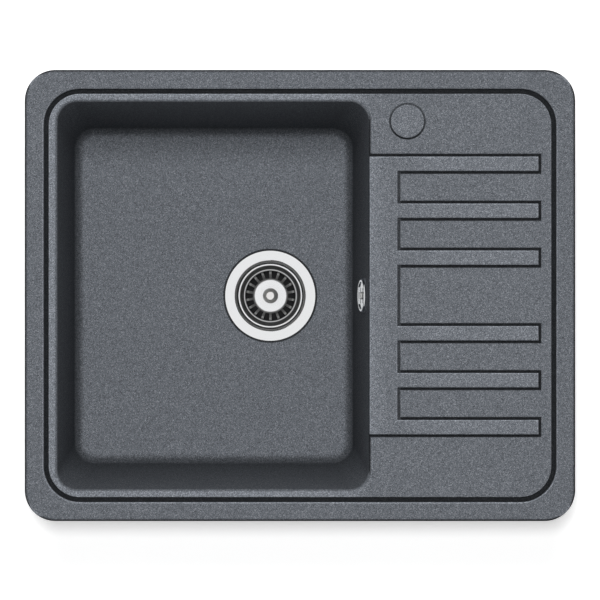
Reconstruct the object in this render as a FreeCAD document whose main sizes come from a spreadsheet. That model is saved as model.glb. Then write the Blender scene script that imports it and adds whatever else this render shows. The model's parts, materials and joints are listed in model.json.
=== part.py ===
import FreeCAD, Part
import math
import os

import Sketcher
from types import SimpleNamespace

# An inset kitchen sink cast in granite composite: one bowl, a raised draining comb, a basket
# strainer waste with overflow, and six swivel clips under the rim.
# Origin: middle of the sink on the worktop plane. +X runs to the drainer, +Y to the back, +Z up.

DRIVING_SIZES = {
    # Whole sink
    "sink_width": 610.0,
    "sink_depth": 500.0,
    "rim_thickness": 10.0,
    "rim_corner_radius": 34.0,
    "rim_edge_radius": 4.0,
    "overrun": 2.0,
    # Underside of the rim
    "seat_width": 11.0,
    "step_height": 4.0,
    "seal_inset": 2.5,
    "seal_width": 6.0,
    "seal_thickness": 1.5,
    "seal_gap": 0.1,
    # Ring groove and the platform inside it
    "ring_inset": 21.2,
    "ring_width": 5.3,
    "ring_depth": 6.0,
    "ring_corner_radius": 40.0,
    "ring_edge_radius": 1.8,
    "platform_edge_radius": 1.0,
    "platform_drop": 2.5,
    # Bowl
    "bowl_width": 345.5,
    "bowl_depth": 190.0,
    "side_land_width": 9.5,
    "end_land_width": 8.5,
    "bowl_corner_radius": 22.0,
    "bowl_wall": 8.0,
    "floor_thickness": 10.0,
    "left_draft_width": 4.5,
    "right_draft_width": 15.0,
    "end_draft_width": 19.0,
    "floor_corner_radius": 24.0,
    "floor_fillet": 12.0,
    "lip_radius": 5.0,
    "foot_fillet": 16.0,
    "neck_fillet": 5.0,
    # Draining comb
    "comb_height": 1.8,
    "comb_strip_width": 31.5,
    "comb_setback": 0.4,
    "comb_end_inset": 40.8,
    "finger_width": 16.2,
    "finger_end_inset": 104.15,
    "finger_middle_pitch": 83.7,
    "comb_edge_radius": 1.4,
    "gutter_width": 2.8,
    "gutter_depth": 2.6,
    "gutter_edge_radius": 1.4,
    # Tap knock-out
    "tap_bowl_gap": 42.5,
    "tap_back_inset": 57.0,
    "tap_hole_radius": 17.5,
    "tap_disc_radius": 18.2,
    "tap_groove_width": 2.2,
    "tap_groove_depth": 2.2,
    "tap_disc_height": 0.8,
    "tap_under_width": 3.0,
    "tap_skin": 3.5,
    # Ribs under the drainer
    "rib_width": 7.0,
    "rib_height": 12.0,
    "rib_pitch": 62.0,
    "rib_end_inset": 40.0,
    # Strainer cup
    "waste_inset": 111.5,
    "waste_hole_radius": 46.0,
    "flange_radius": 53.0,
    "flange_gap": 1.0,
    "flange_sink": 0.2,
    "throat_radius": 41.6,
    "throat_depth": 6.0,
    "throat_bend_radius": 1.2,
    "cup_sheet": 1.2,
    "cup_radius": 38.2,
    "cup_straight": 26.0,
    "seat_height": 6.0,
    "sump_radius": 31.0,
    "cup_depth": 44.0,
    "sump_fillet": 2.0,
    "drain_hole_radius": 4.6,
    "drain_circle_radius": 19.0,
    "flange_gasket_thickness": 0.8,
    "flange_gasket_edge": 0.7,
    # Basket
    "basket_sheet": 0.8,
    "basket_rim_gap": 0.8,
    "basket_top": 6.0,
    "basket_depth": 28.8,
    "basket_bead": 1.6,
    "basket_collar_radius": 32.2,
    "basket_collar_height": 10.0,
    "basket_ledge_width": 1.5,
    "basket_bottom_radius": 20.0,
    "basket_bend": 3.0,
    "bar_width": 2.8,
    "slot_start_radius": 20.8,
    "slot_end_radius": 29.4,
    # Knob and stopper
    "knob_radius": 5.9,
    "knob_waist_radius": 3.9,
    "knob_foot_radius": 9.0,
    "knob_foot_height": 2.2,
    "knob_head_height": 7.0,
    "knob_top_radius": 2.0,
    "knob_top_gap": 1.0,
    "stud_radius": 2.5,
    "stud_gap": 0.15,
    "stopper_thickness": 3.6,
    "stopper_gap": 0.45,
    "washer_radius": 9.0,
    "washer_thickness": 1.2,
    "stopper_nut_flats": 8.0,
    "stopper_nut_height": 3.6,
    "stud_end": 0.8,
    # Centre screw and its thread insert
    "cup_screw_radius": 3.0,
    "cup_screw_gap": 0.3,
    "cup_screw_head_radius": 6.5,
    "cup_screw_head_height": 3.2,
    "cup_screw_length": 22.0,
    "insert_radius": 5.0,
    "insert_length": 13.0,
    "insert_gap": 0.1,
    "insert_shoulder": 10.0,
    # Waste housing
    "waste_gasket_thickness": 3.0,
    "waste_flange_radius": 58.0,
    "waste_flange_thickness": 4.0,
    "waste_radius": 45.0,
    "waste_wall": 3.0,
    "waste_skirt": 38.0,
    "waste_cone": 9.0,
    "outlet_radius": 23.9,
    "outlet_wall": 3.9,
    "outlet_length": 34.0,
    "hub_radius": 8.5,
    "hub_rib_width": 3.0,
    "hub_rib_height": 12.0,
    # Overflow passage in the wall
    "overflow_drop": 50.0,
    "overflow_tilt": 10.5,
    "overflow_proud": 2.0,
    "overflow_hole_radius": 14.0,
    "overflow_seat_radius": 20.0,
    "overflow_back_height": 4.0,
    "overflow_back_radius": 24.5,
    "overflow_bite": 6.0,
    # Rosette
    "rosette_radius": 18.6,
    "rosette_ring": 3.4,
    "rosette_height": 2.6,
    "rosette_plate": 1.4,
    "rosette_sleeve_radius": 13.6,
    "rosette_sleeve_wall": 1.2,
    "rosette_sleeve_length": 8.0,
    "rosette_slot_width": 2.8,
    "rosette_slot_pitch": 5.4,
    "rosette_slot_inset": 2.6,
    "rosette_screw_radius": 2.5,
    "rosette_screw_head_radius": 4.2,
    "rosette_screw_head_height": 2.0,
    "rosette_screw_length": 30.0,
    # Overflow elbow
    "elbow_gasket_thickness": 2.5,
    "elbow_flange_radius": 23.0,
    "elbow_flange_thickness": 4.0,
    "elbow_radius": 18.0,
    "elbow_wall": 2.6,
    "elbow_length": 32.0,
    "elbow_centre": 15.0,
    "elbow_drop": 36.0,
    "elbow_boss_radius": 5.2,
    # Overflow pipe and its two screwed joints
    "pipe_radius": 11.0,
    "pipe_wall": 1.6,
    "pipe_bend_radius": 36.0,
    "pipe_insert": 14.0,
    "pipe_gap": 0.3,
    "socket_wall": 3.2,
    "inlet_drop": 34.0,
    "inlet_reach": 72.0,
    "nut_wall": 3.4,
    "nut_gap": 0.25,
    "nut_grip": 11.0,
    "nut_cap": 2.6,
    "nut_notch_radius": 2.2,
    "joint_seal_height": 4.0,
    "joint_seal_gap": 0.1,
    "joint_seal_chamfer": 1.2,
    # Fixing clips
    "clip_inset": 19.0,
    "clip_end_inset": 115.0,
    "clip_boss_radius": 7.5,
    "clip_boss_height": 10.0,
    "dowel_radius": 4.0,
    "dowel_length": 14.0,
    "dowel_gap": 0.1,
    "dowel_collar_radius": 6.0,
    "dowel_collar_height": 1.5,
    "clip_screw_radius": 2.5,
    "clip_screw_end": 2.0,
    "clip_head_radius": 5.0,
    "clip_head_height": 3.4,
    "clip_running_gap": 0.08,
    "clip_seat_gap": 0.2,
    "worktop_thickness": 40.0,
    "clip_strip": 2.0,
    "clip_width": 13.0,
    "clip_hub_reach": 6.5,
    "clip_hub_radius": 6.0,
    "clip_arm": 12.0,
    "clip_rise": 5.0,
    "clip_foot": 7.0,
    "clip_foot_gap": 1.0,
}

SLOT_COUNT = 18
HEXAGON_SIDES = 6
DRAIN_HOLE_COUNT = 8
HUB_RIB_COUNT = 3
NUT_NOTCH_COUNT = 12
FINGERS_EACH_SIDE = 3
RIBS_EACH_SIDE = 2
ROSETTE_SLOTS_EACH_SIDE = 2
FULL_TURN = 360.0
SQUARE_TURN = 90.0
HALF_TURN = 180.0


class Size:
    """A length or angle: its value now, and its formula on the sheet of driving sizes."""

    def __init__(self, value, text):
        self.value = value
        self.text = text

    def __add__(self, other):
        other = as_size(other)
        return Size(self.value + other.value, f"({self.text} + {other.text})")

    def __sub__(self, other):
        other = as_size(other)
        return Size(self.value - other.value, f"({self.text} - {other.text})")

    def __mul__(self, factor):
        factor = as_size(factor)
        return Size(self.value * factor.value, f"({self.text} * {factor.text})")

    def __truediv__(self, factor):
        factor = as_size(factor)
        return Size(self.value / factor.value, f"({self.text} / {factor.text})")

    def __neg__(self):
        return Size(-self.value, f"(0 - {self.text})")

    def cosine(self):
        return Size(math.cos(math.radians(self.value)), f"cos({self.text})")

    def sine(self):
        return Size(math.sin(math.radians(self.value)), f"sin({self.text})")


def as_size(item):
    """Wrap a plain number, such as a count or zero, as a size."""
    return item if isinstance(item, Size) else Size(item, repr(item))


def make_sheet(document):
    """Write the driving sizes to a sheet, one named cell each, and return them as sizes."""
    sheet = document.addObject("Spreadsheet::Sheet", "Sizes")
    for row, (name, number) in enumerate(DRIVING_SIZES.items(), start=1):
        sheet.set(f"A{row}", name)
        sheet.set(f"B{row}", str(number))
        sheet.setAlias(f"B{row}", name)
    document.recompute()
    return SimpleNamespace(**{name: Size(getattr(sheet, name), f"Sizes.{name}") for name in DRIVING_SIZES})


def bind(item, **sizes):
    """Bind properties of an object to sizes."""
    for name, size in sizes.items():
        item.setExpression(name, as_size(size).text)


def place(item, x=0, y=0, z=0, turn=None, axis=(0, 0, 1)):
    """Put a sub-part at a point, turned by an angle about an axis."""
    angle = 0 if turn is None else as_size(turn).value
    item.Placement = FreeCAD.Placement(
        FreeCAD.Vector(as_size(x).value, as_size(y).value, as_size(z).value),
        FreeCAD.Rotation(FreeCAD.Vector(*axis), angle),
    )
    for letter, size in zip("xyz", (x, y, z)):
        if isinstance(size, Size):
            item.setExpression(f"Placement.Base.{letter}", size.text)
    if isinstance(turn, Size):
        item.setExpression("Placement.Rotation.Angle", turn.text)


def new_body(label):
    """Start a sub-part."""
    body = doc.addObject("PartDesign::Body", label)
    body.Label = label
    return body


def new_sketch(body, name, plane="XY_Plane", level=0):
    """Start a sketch on one of the body's own planes, moved along the plane's normal."""
    sketch = body.newObject("Sketcher::SketchObject", name)
    support = next(item for item in body.Origin.OriginFeatures if item.Role == plane)
    sketch.AttachmentSupport = [(support, "")]
    sketch.MapMode = "FlatFace"
    if isinstance(level, Size):
        sketch.AttachmentOffset = FreeCAD.Placement(FreeCAD.Vector(0, 0, level.value), FreeCAD.Rotation())
        sketch.setExpression("AttachmentOffset.Base.z", level.text)
    return sketch


def pin_point(rules, formulas, geometry, end, x, y):
    """Fix a sketch point at its distances from the sketch's origin."""
    for kind, axis, size in (("DistanceX", -2, as_size(x)), ("DistanceY", -1, as_size(y))):
        if size.value == 0 and size.text == "0":
            rules.append(Sketcher.Constraint("PointOnObject", geometry, end, axis))
        else:
            formulas[len(rules)] = size.text
            rules.append(Sketcher.Constraint(kind, -1, 1, geometry, end, size.value))


def apply_rules(sketch, rules, formulas):
    """Add constraints to a sketch at once and bind their values."""
    first = sketch.ConstraintCount
    sketch.addConstraint(rules)
    for index, text in formulas.items():
        sketch.setExpression(f"Constraints[{first + index}]", text)


def draw_outline(sketch, corners, closed=True):
    """Draw straight runs from corner to corner; a corner may carry a radius as its third entry."""
    count = len(corners)
    spots = [FreeCAD.Vector(as_size(c[0]).value, as_size(c[1]).value, 0) for c in corners]
    entries = []
    exits = []
    arcs = {}
    for index, corner in enumerate(corners):
        spot = spots[index]
        if len(corner) == 2:
            entries.append(spot)
            exits.append(spot)
            continue
        back = (spots[index - 1] - spot).normalize()
        ahead = (spots[(index + 1) % count] - spot).normalize()
        radius = corner[2].value
        half = back.getAngle(ahead) / 2
        reach = radius / math.tan(half)
        centre = spot + (back + ahead).normalize() * (radius / math.sin(half))
        entries.append(spot + back * reach)
        exits.append(spot + ahead * reach)
        left_turn = (ahead.cross(back)).z > 0
        ends = (entries[-1], exits[-1]) if left_turn else (exits[-1], entries[-1])
        angles = [math.atan2(point.y - centre.y, point.x - centre.x) for point in ends]
        arcs[index] = (centre, radius, angles, left_turn)
    runs = count if closed else count - 1
    for index in range(runs):
        sketch.addGeometry(Part.LineSegment(exits[index], entries[(index + 1) % count]), False)
    first = sketch.GeometryCount - runs
    rules = []
    formulas = {}
    for index, corner in enumerate(corners):
        before = first + (index - 1) % count
        after = first + index
        if index not in arcs:
            if index == runs:
                pin_point(rules, formulas, before, 2, corner[0], corner[1])
                continue
            if closed or index > 0:
                rules.append(Sketcher.Constraint("Coincident", before, 2, after, 1))
            pin_point(rules, formulas, after, 1, corner[0], corner[1])
            continue
        centre, radius, angles, left_turn = arcs[index]
        circle = Part.Circle(centre, FreeCAD.Vector(0, 0, 1), radius)
        arc = sketch.addGeometry(Part.ArcOfCircle(circle, angles[0], angles[1]), False)
        tip = sketch.addGeometry(Part.Point(spots[index]), True)
        rules.append(Sketcher.Constraint("Tangent", before, 2, arc, 1 if left_turn else 2))
        rules.append(Sketcher.Constraint("Tangent", after, 1, arc, 2 if left_turn else 1))
        formulas[len(rules)] = corner[2].text
        rules.append(Sketcher.Constraint("Radius", arc, radius))
        rules.append(Sketcher.Constraint("PointOnObject", tip, 1, before))
        rules.append(Sketcher.Constraint("PointOnObject", tip, 1, after))
        pin_point(rules, formulas, tip, 1, corner[0], corner[1])
    apply_rules(sketch, rules, formulas)


def draw_circle(sketch, radius, x=0, y=0):
    """Draw a circle of a given radius round a point."""
    centre = FreeCAD.Vector(as_size(x).value, as_size(y).value, 0)
    circle = sketch.addGeometry(Part.Circle(centre, FreeCAD.Vector(0, 0, 1), radius.value), False)
    rules = []
    formulas = {}
    pin_point(rules, formulas, circle, 3, x, y)
    formulas[len(rules)] = radius.text
    rules.append(Sketcher.Constraint("Radius", circle, radius.value))
    apply_rules(sketch, rules, formulas)


def rectangle(width, length, radius=None, x=0, y=0):
    """Corners of a rectangle round a point, with rounded corners where a radius is given."""
    tail = () if radius is None else (radius,)
    left, right = as_size(x) - width / 2, as_size(x) + width / 2
    front, back = as_size(y) - length / 2, as_size(y) + length / 2
    return [(left, front, *tail), (right, front, *tail), (right, back, *tail), (left, back, *tail)]


def extrude(body, sketch, length, cut=False, down=False):
    """Pad a sketch, or cut a pocket with it, up or down from its plane."""
    kind = "Pocket" if cut else "Pad"
    feature = body.newObject(f"PartDesign::{kind}", f"{sketch.Name}_{kind}")
    feature.Profile = sketch
    feature.Length = length.value
    feature.setExpression("Length", length.text)
    feature.Reversed = not down if cut else down
    return feature


def revolve(body, corners, name, cut=False):
    """Turn an outline, drawn as radius and height, once round the body's upright axis."""
    sketch = new_sketch(body, name, "XZ_Plane")
    draw_outline(sketch, corners)
    kind = "Groove" if cut else "Revolution"
    feature = body.newObject(f"PartDesign::{kind}", f"{name}_{kind}")
    feature.Profile = sketch
    feature.ReferenceAxis = (sketch, ["V_Axis"])
    feature.Angle = FULL_TURN
    return feature


def add_cylinder(body, name, radius, height, turn=None, axis=(0, 1, 0), cut=False, **base):
    """Add a cylinder to a body, or cut one from it, from a base point along a turned axis."""
    kind = "Subtractive" if cut else "Additive"
    feature = body.newObject(f"PartDesign::{kind}Cylinder", name)
    feature.Radius = radius.value
    feature.Height = height.value
    bind(feature, Radius=radius, Height=height)
    place(feature, turn=turn, axis=axis, **base)
    return feature


def repeat_round(body, feature, count):
    """Repeat a feature evenly round the body's upright axis."""
    pattern = body.newObject("PartDesign::PolarPattern", f"{feature.Name}_round")
    pattern.Originals = [feature]
    pattern.Axis = (feature.Profile[0], ["N_Axis"])
    pattern.Angle = FULL_TURN
    pattern.Occurrences = count
    body.Tip = pattern
    return pattern


def round_edges(body, radius, keep):
    """Fillet the edges of the body that a test picks out."""
    doc.recompute()
    base = body.Tip
    names = [f"Edge{n}" for n, edge in enumerate(base.Shape.Edges, start=1) if keep(edge)]
    fillet = body.newObject("PartDesign::Fillet", f"{body.Name}_fillet")
    fillet.Base = (base, names)
    fillet.Radius = radius.value
    fillet.setExpression("Radius", radius.text)
    return fillet


def lies_at(edge, level, tolerance):
    """Whether an edge lies flat at a height."""
    box = edge.BoundBox
    return abs(box.ZMin - level.value) < tolerance and abs(box.ZMax - level.value) < tolerance


doc = FreeCAD.newDocument("granite_sink")
d = make_sheet(doc)

# Levels and places that several sub-parts share
platform_level = d.rim_thickness - d.platform_drop
floor_level = d.rim_thickness - d.bowl_depth
underside_level = floor_level - d.floor_thickness
half_width = d.sink_width / 2
half_depth = d.sink_depth / 2
ring_reach = d.ring_inset + d.ring_width
bowl_left = ring_reach + d.side_land_width - half_width
bowl_right = bowl_left + d.bowl_width
bowl_x = bowl_left + d.bowl_width / 2
bowl_length = d.sink_depth - (ring_reach + d.end_land_width) * 2
floor_width = d.bowl_width - d.left_draft_width - d.right_draft_width
floor_length = bowl_length - d.end_draft_width * 2
floor_right = bowl_right - d.right_draft_width
floor_x = floor_right - floor_width / 2
waste_x = bowl_right - d.waste_inset
tap_x = bowl_right + d.tap_bowl_gap
tap_y = half_depth - d.tap_back_inset
clip_x = half_width - d.clip_end_inset
overflow_wall = d.overflow_proud + d.bowl_wall + d.overflow_back_height
edge_tolerance = 0.01
clip_under_level = -(d.step_height + d.clip_boss_height)
claw_level = -(d.worktop_thickness + d.clip_foot_gap + d.clip_rise + d.clip_strip)
socket_bore = d.pipe_radius + d.pipe_gap
socket_radius = socket_bore + d.socket_wall
drain_level = -(d.cup_depth + d.cup_sheet)
hub_end_level = drain_level - d.insert_shoulder - d.insert_length
outlet_top_level = -(
    d.floor_thickness + d.waste_gasket_thickness + d.waste_skirt + d.waste_cone
)

CLIPS = (
    ("clip_back_left", -clip_x, half_depth - d.clip_inset, HALF_TURN),
    ("clip_back_right", clip_x, half_depth - d.clip_inset, 0),
    ("clip_front_left", -clip_x, d.clip_inset - half_depth, HALF_TURN),
    ("clip_front_right", clip_x, d.clip_inset - half_depth, 0),
    ("clip_left", d.clip_inset - half_width, 0, SQUARE_TURN),
    ("clip_right", half_width - d.clip_inset, 0, SQUARE_TURN),
)


def bowl_right_at(level):
    """How far right the bowl's inner wall lies at a height."""
    share = (level - floor_level) / (platform_level - floor_level)
    return floor_right + (bowl_right - floor_right) * share


# Overflow: a seat on the right wall, tilted so that it faces into the bowl and a little upwards
overflow_level = d.rim_thickness - d.overflow_drop
overflow_x = bowl_right_at(overflow_level) - d.overflow_proud
out_x = d.overflow_tilt.cosine()
out_z = -d.overflow_tilt.sine()
face_in = as_size(SQUARE_TURN) - d.overflow_tilt
face_out = as_size(SQUARE_TURN) + d.overflow_tilt


def behind_seat(distance):
    """A point on the overflow's axis, a distance behind its seat in the bowl."""
    return {"x": overflow_x + out_x * distance, "z": overflow_level + out_z * distance}


def bowl_section(level, grown=0):
    """Outline of the bowl at a height, grown outwards by a wall."""
    share = (level - floor_level) / (platform_level - floor_level)
    width = floor_width + (d.bowl_width - floor_width) * share + as_size(grown) * 2
    length = floor_length + (bowl_length - floor_length) * share + as_size(grown) * 2
    x = floor_x + (bowl_x - floor_x) * share
    radius = d.floor_corner_radius + (d.bowl_corner_radius - d.floor_corner_radius) * share + grown
    return rectangle(width, length, radius, x)


def rim_ring(inset, radius):
    """Outline of the sink, moved inwards."""
    return rectangle(d.sink_width - inset * 2, d.sink_depth - inset * 2, radius)


def comb_outline(left, grown=0):
    """Outline of the draining comb: a strip beside the bowl with fingers to the right."""
    half = d.finger_width / 2 + grown
    strip = bowl_right + d.comb_strip_width + grown
    reach = half_width - d.comb_end_inset + grown
    inner = d.finger_middle_pitch / 2
    pitch = (half_depth - d.finger_end_inset - inner) / (FINGERS_EACH_SIDE - 1)
    upper = [inner + pitch * n for n in range(FINGERS_EACH_SIDE)]
    centres = [-centre for centre in reversed(upper)] + upper
    corners = []
    for centre in centres:
        start = left if centre is centres[0] else strip
        end = left if centre is centres[-1] else strip
        corners.append((start, centre - half))
        corners.append((reach, centre - half))
        corners.append((reach, centre + half))
        corners.append((end, centre + half))
    return corners


def within(edge, width, depth):
    """Whether an edge lies inside a rectangle round the origin."""
    box = edge.BoundBox
    reach_x = max(abs(box.XMin), abs(box.XMax))
    reach_y = max(abs(box.YMin), abs(box.YMax))
    return reach_x < width.value / 2 and reach_y < depth.value / 2


def loft(body, first, last, name, cut=False, grown=0):
    """Join the bowl's outlines at two heights by straight drafted walls."""
    sketches = []
    for level, end in ((first, "top"), (last, "bottom")):
        sketch = new_sketch(body, f"{name}_{end}", level=level)
        draw_outline(sketch, bowl_section(level, grown))
        sketches.append(sketch)
    kind = "Subtractive" if cut else "Additive"
    feature = body.newObject(f"PartDesign::{kind}Loft", name)
    feature.Profile = sketches[0]
    feature.Sections = [sketches[1]]
    feature.Ruled = True
    return feature


def shape_rim(body):
    """The flat slab of the rim, the step that drops into the cut-out and the seal's channel."""
    sketch = new_sketch(body, "rim_outline")
    draw_outline(sketch, rim_ring(as_size(0), d.rim_corner_radius))
    extrude(body, sketch, d.rim_thickness)
    round_edges(body, d.rim_edge_radius, lambda edge: lies_at(edge, d.rim_thickness, edge_tolerance))
    sketch = new_sketch(body, "step_outline")
    draw_outline(sketch, rim_ring(d.seat_width, d.rim_corner_radius - d.seat_width))
    extrude(body, sketch, d.step_height, down=True)
    sketch = new_sketch(body, "seal_channel")
    for inset in (d.seal_inset - d.seal_gap, d.seal_inset + d.seal_width + d.seal_gap):
        draw_outline(sketch, rim_ring(inset, d.rim_corner_radius - inset))
    extrude(body, sketch, d.seal_thickness, cut=True)


def shape_underside(body):
    """The bowl's outside, ribs under the drainer and bosses for the fixing clips."""
    loft(body, as_size(0), underside_level, "bowl_shell", grown=d.bowl_wall)
    round_edges(body, d.foot_fillet, lambda edge: lies_at(edge, underside_level, edge_tolerance))
    inner_width = d.sink_width - d.seat_width * 2 - d.overrun
    inner_depth = d.sink_depth - d.seat_width * 2 - d.overrun
    round_edges(
        body,
        d.neck_fillet,
        lambda edge: lies_at(edge, -d.step_height, edge_tolerance)
        and within(edge, inner_width, inner_depth),
    )
    sketch = new_sketch(body, "rib_outlines")
    rib_start = bowl_right + d.bowl_wall / 2
    rib_end = half_width - d.rib_end_inset
    for side in (-1, 1):
        for number in range(RIBS_EACH_SIDE):
            rib_y = (d.rib_pitch / 2 + d.rib_pitch * number) * side
            middle = (rib_start + rib_end) / 2
            draw_outline(sketch, rectangle(rib_end - rib_start, d.rib_width, x=middle, y=rib_y))
    extrude(body, sketch, d.step_height + d.rib_height, down=True)
    sketch = new_sketch(body, "clip_bosses")
    for _, x, y, _ in CLIPS:
        draw_circle(sketch, d.clip_boss_radius, x, y)
    extrude(body, sketch, -clip_under_level, down=True)
    sketch = new_sketch(body, "dowel_holes", level=clip_under_level)
    for _, x, y, _ in CLIPS:
        draw_circle(sketch, d.dowel_radius + d.dowel_gap, x, y)
    extrude(body, sketch, d.dowel_length + d.dowel_gap, cut=True)


def shape_top(body):
    """The lowered platform with its ring groove, and the bowl with rounded floor and lip."""
    inner_radius = d.ring_corner_radius - d.ring_width
    sketch = new_sketch(body, "platform", level=d.rim_thickness)
    draw_outline(sketch, rim_ring(d.ring_inset, d.ring_corner_radius))
    extrude(body, sketch, d.platform_drop, cut=True, down=True)
    sketch = new_sketch(body, "ring_groove", level=d.rim_thickness)
    draw_outline(sketch, rim_ring(d.ring_inset, d.ring_corner_radius))
    draw_outline(sketch, rim_ring(ring_reach, inner_radius))
    extrude(body, sketch, d.ring_depth, cut=True, down=True)
    groove_width = d.sink_width - d.ring_inset * 2 + d.overrun
    groove_depth = d.sink_depth - d.ring_inset * 2 + d.overrun
    round_edges(
        body,
        d.ring_edge_radius,
        lambda edge: lies_at(edge, d.rim_thickness, edge_tolerance)
        and within(edge, groove_width, groove_depth),
    )
    round_edges(body, d.platform_edge_radius, lambda edge: lies_at(edge, platform_level, edge_tolerance))
    loft(body, platform_level + d.overrun, floor_level, "bowl_cavity", cut=True)
    round_edges(body, d.floor_fillet, lambda edge: lies_at(edge, floor_level, edge_tolerance))
    round_edges(
        body,
        d.lip_radius,
        lambda edge: lies_at(edge, platform_level, edge_tolerance)
        and edge.BoundBox.XMin > (bowl_left - d.overrun).value
        and edge.BoundBox.XMax < (bowl_right + d.overrun).value,
    )


def shape_drainer(body):
    """The raised comb in its narrow gutter, and the marked disc where a tap hole is knocked out."""
    sketch = new_sketch(body, "gutter", level=platform_level)
    draw_outline(sketch, comb_outline(bowl_right - d.overrun, d.gutter_width))
    extrude(body, sketch, d.gutter_depth, cut=True, down=True)
    comb_start = bowl_right + d.overrun
    comb_end = half_width - d.comb_end_inset + d.gutter_width + edge_tolerance
    round_edges(
        body,
        d.gutter_edge_radius,
        lambda edge: lies_at(edge, platform_level, edge_tolerance)
        and edge.BoundBox.XMin > comb_start.value
        and edge.BoundBox.XMax < comb_end.value,
    )
    sketch = new_sketch(body, "comb", level=platform_level - d.lip_radius)
    draw_outline(sketch, comb_outline(bowl_right + d.comb_setback))
    extrude(body, sketch, d.lip_radius + d.comb_height)
    comb_level = platform_level + d.comb_height
    round_edges(body, d.comb_edge_radius, lambda edge: lies_at(edge, comb_level, edge_tolerance))
    sketch = new_sketch(body, "tap_groove", level=platform_level)
    draw_circle(sketch, d.tap_disc_radius, tap_x, tap_y)
    draw_circle(sketch, d.tap_disc_radius + d.tap_groove_width, tap_x, tap_y)
    extrude(body, sketch, d.tap_groove_depth, cut=True, down=True)
    sketch = new_sketch(body, "tap_disc", level=platform_level)
    draw_circle(sketch, d.tap_disc_radius, tap_x, tap_y)
    extrude(body, sketch, d.tap_disc_height)
    sketch = new_sketch(body, "tap_under_groove", level=-d.step_height)
    draw_circle(sketch, d.tap_hole_radius, tap_x, tap_y)
    draw_circle(sketch, d.tap_hole_radius - d.tap_under_width, tap_x, tap_y)
    depth = d.step_height + platform_level - d.tap_groove_depth - d.tap_skin
    extrude(body, sketch, depth, cut=True)


def shape_openings(body):
    """The recessed waste hole in the floor and the tilted overflow hole in the wall."""
    recess = d.flange_gasket_thickness + d.cup_sheet + d.flange_sink
    sketch = new_sketch(body, "flange_recess", level=floor_level)
    draw_circle(sketch, d.flange_radius + d.flange_gap, waste_x)
    extrude(body, sketch, recess, cut=True, down=True)
    sketch = new_sketch(body, "waste_hole", level=floor_level)
    draw_circle(sketch, d.waste_hole_radius, waste_x)
    extrude(body, sketch, d.floor_thickness + d.overrun, cut=True, down=True)
    add_cylinder(
        body, "overflow_front", d.overflow_seat_radius, d.overflow_bite, face_out, **behind_seat(as_size(0))
    )
    back = overflow_wall - d.overflow_bite
    add_cylinder(
        body, "overflow_back", d.overflow_back_radius, back, face_out, **behind_seat(d.overflow_bite)
    )
    clear = overflow_wall
    add_cylinder(
        body,
        "overflow_spot",
        d.overflow_seat_radius,
        clear,
        face_in,
        (0, -1, 0),
        True,
        **behind_seat(as_size(0)),
    )
    length = overflow_wall + d.overrun * 2
    start = behind_seat(-d.overrun)
    add_cylinder(body, "overflow_hole", d.overflow_hole_radius, length, face_out, cut=True, **start)


def make_sink_body():
    """The casting: rim, bowl, drainer and their openings."""
    body = new_body("sink_body")
    shape_rim(body)
    shape_underside(body)
    shape_top(body)
    shape_drainer(body)
    shape_openings(body)
    return body


def make_ring(label, inner, outer, bottom, top):
    """A flat ring round the waste's axis: a gasket or a washer."""
    body = new_body(label)
    revolve(body, [(inner, bottom), (outer, bottom), (outer, top), (inner, top)], f"{label}_section")
    return body


def set_in_waste(body):
    """Place a sub-part drawn from the bowl's floor on the waste's axis."""
    place(body, x=waste_x, z=floor_level)
    return body


def make_rim_seal():
    """The foam strip, flush in its channel under the rim."""
    body = new_body("rim_seal")
    sketch = new_sketch(body, "seal_outline")
    for inset in (d.seal_inset, d.seal_inset + d.seal_width):
        draw_outline(sketch, rim_ring(inset, d.rim_corner_radius - inset))
    extrude(body, sketch, d.seal_thickness)
    return body


def make_strainer_cup():
    """The pressed cup: flange, conical throat, straight wall, stopper seat and a pierced sump."""
    body = new_body("strainer_cup")
    sheet = d.cup_sheet
    seat_end = d.cup_straight + d.seat_height
    hole = d.cup_screw_radius + d.cup_screw_gap
    top = -d.flange_sink
    revolve(
        body,
        [
            (d.flange_radius, top),
            (d.throat_radius, top, d.throat_bend_radius),
            (d.cup_radius, top - d.throat_depth),
            (d.cup_radius, -d.cup_straight),
            (d.sump_radius, -seat_end),
            (d.sump_radius, -d.cup_depth, d.sump_fillet),
            (hole, -d.cup_depth),
            (hole, drain_level),
            (d.sump_radius + sheet, drain_level, d.sump_fillet + sheet),
            (d.sump_radius + sheet, -seat_end - sheet / 2),
            (d.cup_radius + sheet, -d.cup_straight - sheet / 2),
            (d.cup_radius + sheet, top - d.throat_depth - sheet / 2),
            (d.throat_radius + sheet / 2, top - sheet),
            (d.flange_radius, top - sheet),
        ],
        "cup_section",
    )
    sketch = new_sketch(body, "drain_hole", level=-d.cup_depth)
    draw_circle(sketch, d.drain_hole_radius, d.drain_circle_radius)
    repeat_round(body, extrude(body, sketch, sheet + d.overrun, cut=True, down=True), DRAIN_HOLE_COUNT)
    return set_in_waste(body)


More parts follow.
